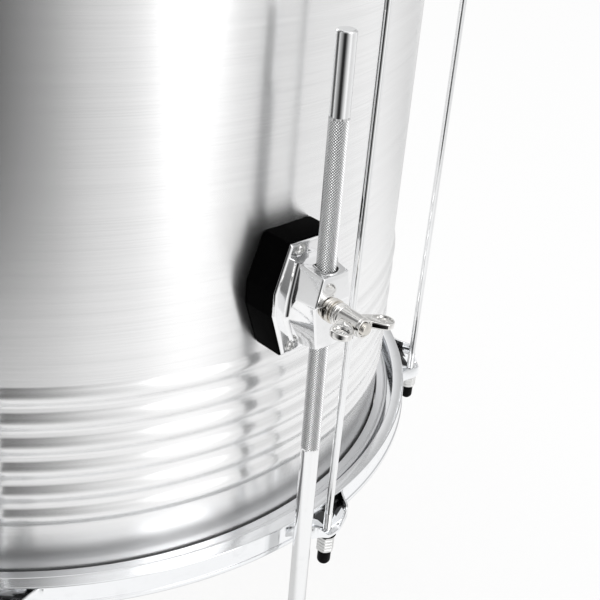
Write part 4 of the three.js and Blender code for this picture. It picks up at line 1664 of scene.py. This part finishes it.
@dataclass
class Leg:
    """A chromed rod, diamond knurled along its middle, with a rubber foot."""

    number: int
    length: float = 545.0
    lean_deg: float = 1.0
    radius: float = 6.2
    crest: float = 6.35
    valley: float = 5.8
    chamfer: float = 1.2
    knurl_offset: float = 52.0
    knurl_length: float = 228.0
    knurl_gap: float = 1.5
    diamonds: int = 22
    lower_steps: int = 12
    upper_steps: int = 6
    end_marks: tuple[Span, ...] = ((0.55, 0.25), (0.2, 0.6), (0.0, 1.2))
    sole: float = 6.0
    sole_rise: float = 1.2
    sole_shares: Span = (0.45, 0.5)
    gap: float = 0.3
    tread: float = 9.0
    treads: int = 3
    tread_marks: tuple[Span, ...] = ((0.0, 0.9), (0.9, 0.7), (0.9, 0.2))
    shoulder: float = 1.2
    lip_marks: tuple[Span, ...] = (
        (0.9, 6.0), (-0.4, 5.0), (-0.4, 4.2), (0.0, 3.6), (0.0, 0.8), (-0.8, 0.0))
    foot_radius: float = 15.0
    neck_radius: float = 10.5
    socket: float = 6.65
    foot_around: int = 64

    def rod(self, length: float) -> Surface:
        """The rod from zero, with a lattice of pyramids where it is knurled.

        On the knurl the grid's points alternate between crest and valley, (-1)^(i + j), and each
        cell is split from valley to valley, so that four triangles meet in each crest. There U
        and V count the grid's columns and rows; elsewhere V is -1.

        Args:
            length: The rod's length.

        Returns:
            The closed rod.
        """
        columns = 2 * self.diamonds
        step = math.pi * self.radius / self.diamonds
        count = int(self.knurl_length / step) // 2 * 2
        top = length - self.knurl_offset
        knurl = top - step * np.arange(count)[::-1]
        lower = np.linspace(2 * self.chamfer, knurl[0] - self.knurl_gap, self.lower_steps)
        upper = np.linspace(top + self.knurl_gap, length - self.chamfer, self.upper_steps)
        drops, insets = np.array(self.end_marks).T * self.chamfer
        heights = np.concatenate([[0], lower, knurl, upper, length - drops])
        radius = np.full((len(heights), columns), self.radius)
        first = 1 + len(lower)
        parity = (np.arange(count)[:, None] + np.arange(columns)) % 2
        radius[first:first + count] = np.where(parity == 0, self.crest, self.valley)
        radius[-len(insets):] = self.radius - insets[:, None]
        surface = turned(heights, radius)
        places = surface.quad_uv
        rows = np.searchsorted(np.unique(places[:, :, 1]), places[:, :, 1] - 1e-9) - first
        knurled = (rows >= 0) & (rows < count)
        places[:, :, 0] *= columns / places[:, :, 0].max()
        places[:, :, 1] = np.where(knurled, rows, -1)
        surface.tri_uv[:, :, 1] = -1
        return self.split_cells(surface, first, count, columns)

    @staticmethod
    def split_cells(surface: Surface, first: int, count: int, columns: int) -> Surface:
        """Splits the knurl's cells into triangles from valley to valley.

        Args:
            surface: The rod as quads, row by row.
            first: The knurl's first row.
            count: Its number of rows.
            columns: The cells in each row.

        Returns:
            The surface with those quads as triangles.
        """
        low, high = first * columns, (first + count - 1) * columns
        cells, places = surface.quads[low:high], surface.quad_uv[low:high]
        rows, sides = np.divmod(np.arange(len(cells)), columns)
        turned = ((rows + sides) % 2 == 1)[:, None, None]
        one = np.where(turned[:, 0], cells[:, [0, 1, 2]], cells[:, [0, 1, 3]])
        two = np.where(turned[:, 0], cells[:, [0, 2, 3]], cells[:, [1, 2, 3]])
        one_uv = np.where(turned, places[:, [0, 1, 2]], places[:, [0, 1, 3]])
        two_uv = np.where(turned, places[:, [0, 2, 3]], places[:, [1, 2, 3]])
        keep = np.ones(len(surface.quads), bool)
        keep[low:high] = False
        return Surface(surface.points, surface.quads[keep], np.concatenate([surface.tris, one, two]),
                       surface.quad_uv[keep], np.concatenate([surface.tri_uv, one_uv, two_uv]))

    def foot(self, height: float) -> Surface:
        """A ribbed rubber foot: a tread of three rings, a cone and a rolled lip round the leg.

        Args:
            height: The foot's height.

        Returns:
            The foot, from zero.
        """
        outer, neck = self.foot_radius, self.neck_radius
        hollow, rim = (outer * share for share in self.sole_shares)
        corners = [(0, self.sole_rise), (hollow, self.sole_rise), (rim, 0), (outer, 0)]
        for number in range(1, self.treads + 1):
            top = self.tread * number / self.treads
            corners += [(outer - inset, top - drop) for inset, drop in self.tread_marks]
        corners.append((outer - self.shoulder, self.tread + self.shoulder))
        corners += [(neck + swell, height - drop) for swell, drop in self.lip_marks]
        corners += [(self.socket, height), (self.socket, self.sole), (0, self.sole)]
        surface = revolved(np.array(corners, float), self.foot_around)
        points = surface.points
        slack = 0.01
        inside = np.hypot(points[:, 0], points[:, 1]) < self.socket + slack
        bored = inside & (points[:, 2] > self.sole - slack)
        points[:, 0] -= bored * (points[:, 2] - self.sole) * math.tan(math.radians(self.lean_deg))
        return surface

    def build(self) -> Station:
        """Makes the rod, which leans in at the top, and its upright foot.

        Returns:
            The foot's station.
        """
        foot = Station.of(f"rubber_foot_{self.number}")
        seat = turn_z(foot.angle) @ shift(foot.reach, 0, foot.low)
        lean = np.array(Matrix.Rotation(-math.radians(self.lean_deg), 4, "Y"))
        rod = self.rod(self.length).moved(seat @ shift(0, 0, self.sole + self.gap) @ lean)
        body = f"leg_body_{self.number}"
        add_piece(f"leg_{self.number}_knurled", rod, LEG_CHROME, body, f"leg_{self.number}", crease=14)
        moulded = self.foot(foot.high - foot.low).moved(seat)
        add_piece(f"foot_{self.number}_moulded", moulded, RUBBER, body,
                  f"rubber_foot_{self.number}", crease=50)
        return foot


# Bearings in degrees with the tone that metal sees there: in the room at the horizon, on the floor
# and in the room above the horizon.
ROOM_TONES: Tones = (
    (-180, 0.95), (-125, 0.85), (-104, 0.5), (-84, 0.26), (-66, 0.02), (-46, 0.02), (-29, 0.3),
    (-20, 0.55), (-8, 0.74), (-1, 0.92), (4, 1.0), (12, 0.98), (18, 0.86), (26, 0.74), (34, 0.66),
    (45, 0.68), (57, 0.78), (72, 0.88), (86, 0.8), (104, 0.6), (120, 0.75), (140, 0.95), (180, 0.95))
FLOOR_TONES: Tones = (
    (-180, 0.95), (-125, 0.85), (-104, 0.75), (-60, 0.6), (-28, 0.56), (-10, 0.67), (-4, 0.82),
    (0, 0.97), (5, 1.0), (9, 0.9), (13, 0.8), (17, 0.73), (23, 0.7), (30, 0.7), (38, 0.74), (48, 0.8),
    (58, 0.82), (68, 0.9), (78, 0.86), (88, 0.76), (97, 0.68), (110, 0.78), (140, 0.95), (180, 0.95))
UPPER_TONES: Tones = (
    (-180, 0.9), (-140, 0.7), (-100, 0.4), (-60, 0.12), (-38, 0.3), (-18, 0.9), (0, 1.0), (35, 1.0),
    (55, 0.8), (90, 0.5), (115, 0.45), (127, 0.52), (134, 0.85), (145, 1.0), (180, 0.95))


@dataclass
class Studio:
    """A pale floor, a surround of set tones, two softboxes and the photograph's camera."""

    focal_px: float = 1231.7
    image_px: float = 600.0
    sensor_mm: float = 36.0
    clip_start: float = 0.01
    camera_bearing: float = -32.01
    camera_distance: float = 0.9118
    camera_height: float = 0.7427
    heading: float = 134.63
    pitch: float = 28.59
    roll: float = -5.3
    floor_bearing: float = -46.0
    floor_front: float = 0.9
    floor_back: float = 7.0
    floor_side: float = 5.0
    floor_glow: float = 0.86
    near: float = 0.55
    far: float = 1.25
    contact: float = 0.32
    open: float = 0.5
    painted_shadow_depth: float = 0.35
    paper: float = 0.97
    paper_roughness: float = 0.9
    fill: float = 0.8
    upper_span: Span = (0.0, 0.35)
    overhead_span: Span = (0.86, 0.98)
    key_bearing: float = 6.0
    key_distance: float = 2.2
    key_height: float = 1.2
    key_size: Span = (0.8, 1.8)
    key_radiance: float = 1.6
    top_place: tuple[float, float, float] = (0.2, 0.4, 2.8)
    top_size: Span = (1.2, 1.2)
    top_radiance: float = 3.0

    @staticmethod
    def out(bearing: float) -> Vector:
        """Level unit vector away from the drum at a bearing in degrees."""
        angle = math.radians(bearing)
        return Vector((math.sin(angle), -math.cos(angle), 0.0))

    def camera(self) -> None:
        """Places the photograph's camera: heading, then pitch down, then roll about the view."""
        data = bpy.data.cameras.new("camera")
        data.sensor_width = self.sensor_mm
        data.lens = self.focal_px / self.image_px * self.sensor_mm
        data.clip_start = self.clip_start
        camera = bpy.data.objects.new("camera", data)
        bpy.context.scene.collection.objects.link(camera)
        pitch, roll = math.radians(self.pitch), math.radians(self.roll)
        ahead = self.out(self.heading)
        right = Vector((ahead.y, -ahead.x, 0.0))
        forward = ahead * math.cos(pitch) - Vector((0, 0, math.sin(pitch)))
        down = forward.cross(right)
        side = right * math.cos(roll) + down * math.sin(roll)
        up = right * math.sin(roll) - down * math.cos(roll)
        place = Vector(Drum.axis * MM) + self.out(self.camera_bearing) * self.camera_distance
        place += Vector((0, 0, self.camera_height))
        facing = Matrix((side, up, -forward)).transposed().to_4x4()
        camera.matrix_world = Matrix.Translation(place) @ facing
        bpy.context.scene.camera = camera

    def floor(self) -> None:
        """A pale board that ends in front of the drum and glows: white for the camera, and for metal a
        painted reflection of the room's tones with a painted shadow round the drum.
        """
        ahead = self.out(self.floor_bearing)
        side = Vector((-ahead.y, ahead.x, 0.0))
        corners = [ahead * along + side * across for along, across in (
            (self.floor_front, -self.floor_side), (self.floor_front, self.floor_side),
            (-self.floor_back, self.floor_side), (-self.floor_back, -self.floor_side))]
        mesh = bpy.data.meshes.new("floor")
        mesh.from_pydata([tuple(corner) for corner in corners], [], [(0, 1, 2, 3)])
        material = bpy.data.materials.new("floor_paper")
        material.use_nodes = True
        bench = Bench(material.node_tree)
        paper = bench.tree.nodes["Principled BSDF"]
        bench.fill(paper.inputs["Base Color"], (self.paper, self.paper, self.paper, 1.0))
        bench.fill(paper.inputs["Roughness"], self.paper_roughness)
        level = bench.vector("SUBTRACT", bench.object_place(), tuple(Drum.axis * MM))
        reach = bench.length(level)
        distant = reach.ramp(self.near, self.far)
        # Painted shadow: the glow that metal sees darkens close round the drum.
        painted_shadow = 1 - (1 - reach.ramp(self.contact, self.open)) * self.painted_shadow_depth
        tone = (self.toned(bench, level, FLOOR_TONES) * distant + (1 - distant)) * painted_shadow
        colour = bench.blend(self.straight(bench), tone, WHITE)
        glow = bench.node("ShaderNodeEmission", None, {"Color": colour, "Strength": 1.0})
        seen = self.seen(bench) * self.floor_glow
        mix = bench.node("ShaderNodeMixShader", None, {0: seen, 1: paper.outputs[0], 2: glow.outputs[0]})
        bench.fill(bench.tree.nodes["Material Output"].inputs["Surface"], mix.outputs[0])
        mesh.materials.append(material)
        floor = bpy.data.objects.new("floor", mesh)
        bpy.context.scene.collection.objects.link(floor)

    @staticmethod
    def straight(bench: Bench) -> Signal:
        """1 for what the camera sees straight, and 0 for all other light."""
        return Signal(bench, bench.node("ShaderNodeLightPath").outputs["Is Camera Ray"])

    @staticmethod
    def seen(bench: Bench) -> Signal:
        """1 for what the camera sees straight, in gloss or through glass, and 0 for fill light."""
        path = bench.node("ShaderNodeLightPath")
        rays = [Signal(bench, path.outputs[name])
                for name in ("Is Camera Ray", "Is Glossy Ray", "Is Transmission Ray")]
        total = rays[0] + rays[1] + rays[2]
        return total.ramp(0.0, 1.0)

    @staticmethod
    def toned(bench: Bench, direction: Any, tones: Tones) -> Signal:
        """A grey tone that follows the bearing of a direction.

        Args:
            bench: The bench of the material or world.
            direction: The direction, or a place about the drum's axis.
            tones: Bearings in degrees with the tone at each, in rising order.

        Returns:
            The tone.
        """
        x, y = bench.parts(direction)[:2]
        share = x.atan2(y * -1.0) * (1 / TURN) + 0.5
        stops = [(0.5 + bearing / 360, tone) for bearing, tone in tones]
        return bench.signal("ShaderNodeValToRGB", {"stops": stops}, {0: share})

    def world(self) -> None:
        """White for the camera, plain fill for matt surfaces, and a studio's tones for gloss.

        The tones follow the bearing: the room is darkest on the camera's side and pale elsewhere.
        Above the horizon it has tones of its own, and overhead it is white at every bearing.
        """
        world = bpy.data.worlds.new("studio")
        world.use_nodes = True
        bpy.context.scene.world = world
        bench = Bench(world.node_tree)
        direction = bench.node("ShaderNodeTexCoord").outputs["Generated"]
        band = self.toned(bench, direction, ROOM_TONES)
        upper_band = self.toned(bench, direction, UPPER_TONES)
        height = bench.parts(direction)[2]
        upper = height.ramp(*self.upper_span)
        overhead = height.ramp(*self.overhead_span)
        gloss = (band * (1 - upper) + upper_band * upper) * (1 - overhead) + overhead
        straight, seen = self.straight(bench), self.seen(bench)
        strength = straight + (1 - straight) * (seen * gloss + (1 - seen) * self.fill)
        background = bench.tree.nodes["Background"]
        bench.fill(background.inputs["Color"], WHITE)
        bench.fill(background.inputs["Strength"], strength)

    def softbox(self, name: str, place: Vector, size: Span, radiance: float) -> None:
        """Adds a rectangular lamp that faces the drum's middle.

        Args:
            name: The lamp's name.
            place: Where it stands, in metres.
            size: Its width and height.
            radiance: How bright its face is, where 1 is white.
        """
        width, height = size
        data = bpy.data.lights.new(name, "AREA")
        data.shape = "RECTANGLE"
        data.size = width
        data.size_y = height
        data.energy = radiance * math.pi * width * height
        lamp = bpy.data.objects.new(name, data)
        bpy.context.scene.collection.objects.link(lamp)
        target = Vector((0.0, 0.0, (Drum.bottom + Drum.top) / 2 * MM))
        lamp.location = place
        lamp.rotation_euler = (target - place).to_track_quat("-Z", "Y").to_euler()

    def build(self) -> None:
        """Sets up the view, the surround and the lamps."""
        scene = bpy.context.scene
        scene.view_settings.view_transform = "Standard"
        self.camera()
        self.floor()
        self.world()
        place = self.out(self.key_bearing) * self.key_distance + Vector((0, 0, self.key_height))
        self.softbox("key", place, self.key_size, self.key_radiance)
        self.softbox("overhead", Vector(self.top_place), self.top_size, self.top_radiance)


def main() -> None:
    """Builds the drum's sub-assemblies in order, and then the studio."""
    logging.basicConfig(level=logging.INFO, format="%(name)s %(message)s")
    Shell().build()
    rods = [TensionSet(number).build() for number in range(1, ROD_COUNT + 1)]
    for end in End:
        Head().build(end)
        FleshHoop().build(end)
        Counterhoop().build(end, rods)
    for number in range(1, LEG_COUNT + 1):
        leg = Leg(number).build()
        pad = Station.of(f"bracket_pad_{number}")
        Bracket(number).build(leg, (pad.low + pad.high) / 2)
        stud = Station.of(f"clamp_stud_{number}")
        Clamp(number).build(leg, (stud.low + stud.high) / 2)
    Studio().build()


if __name__ == "__main__":
    main()
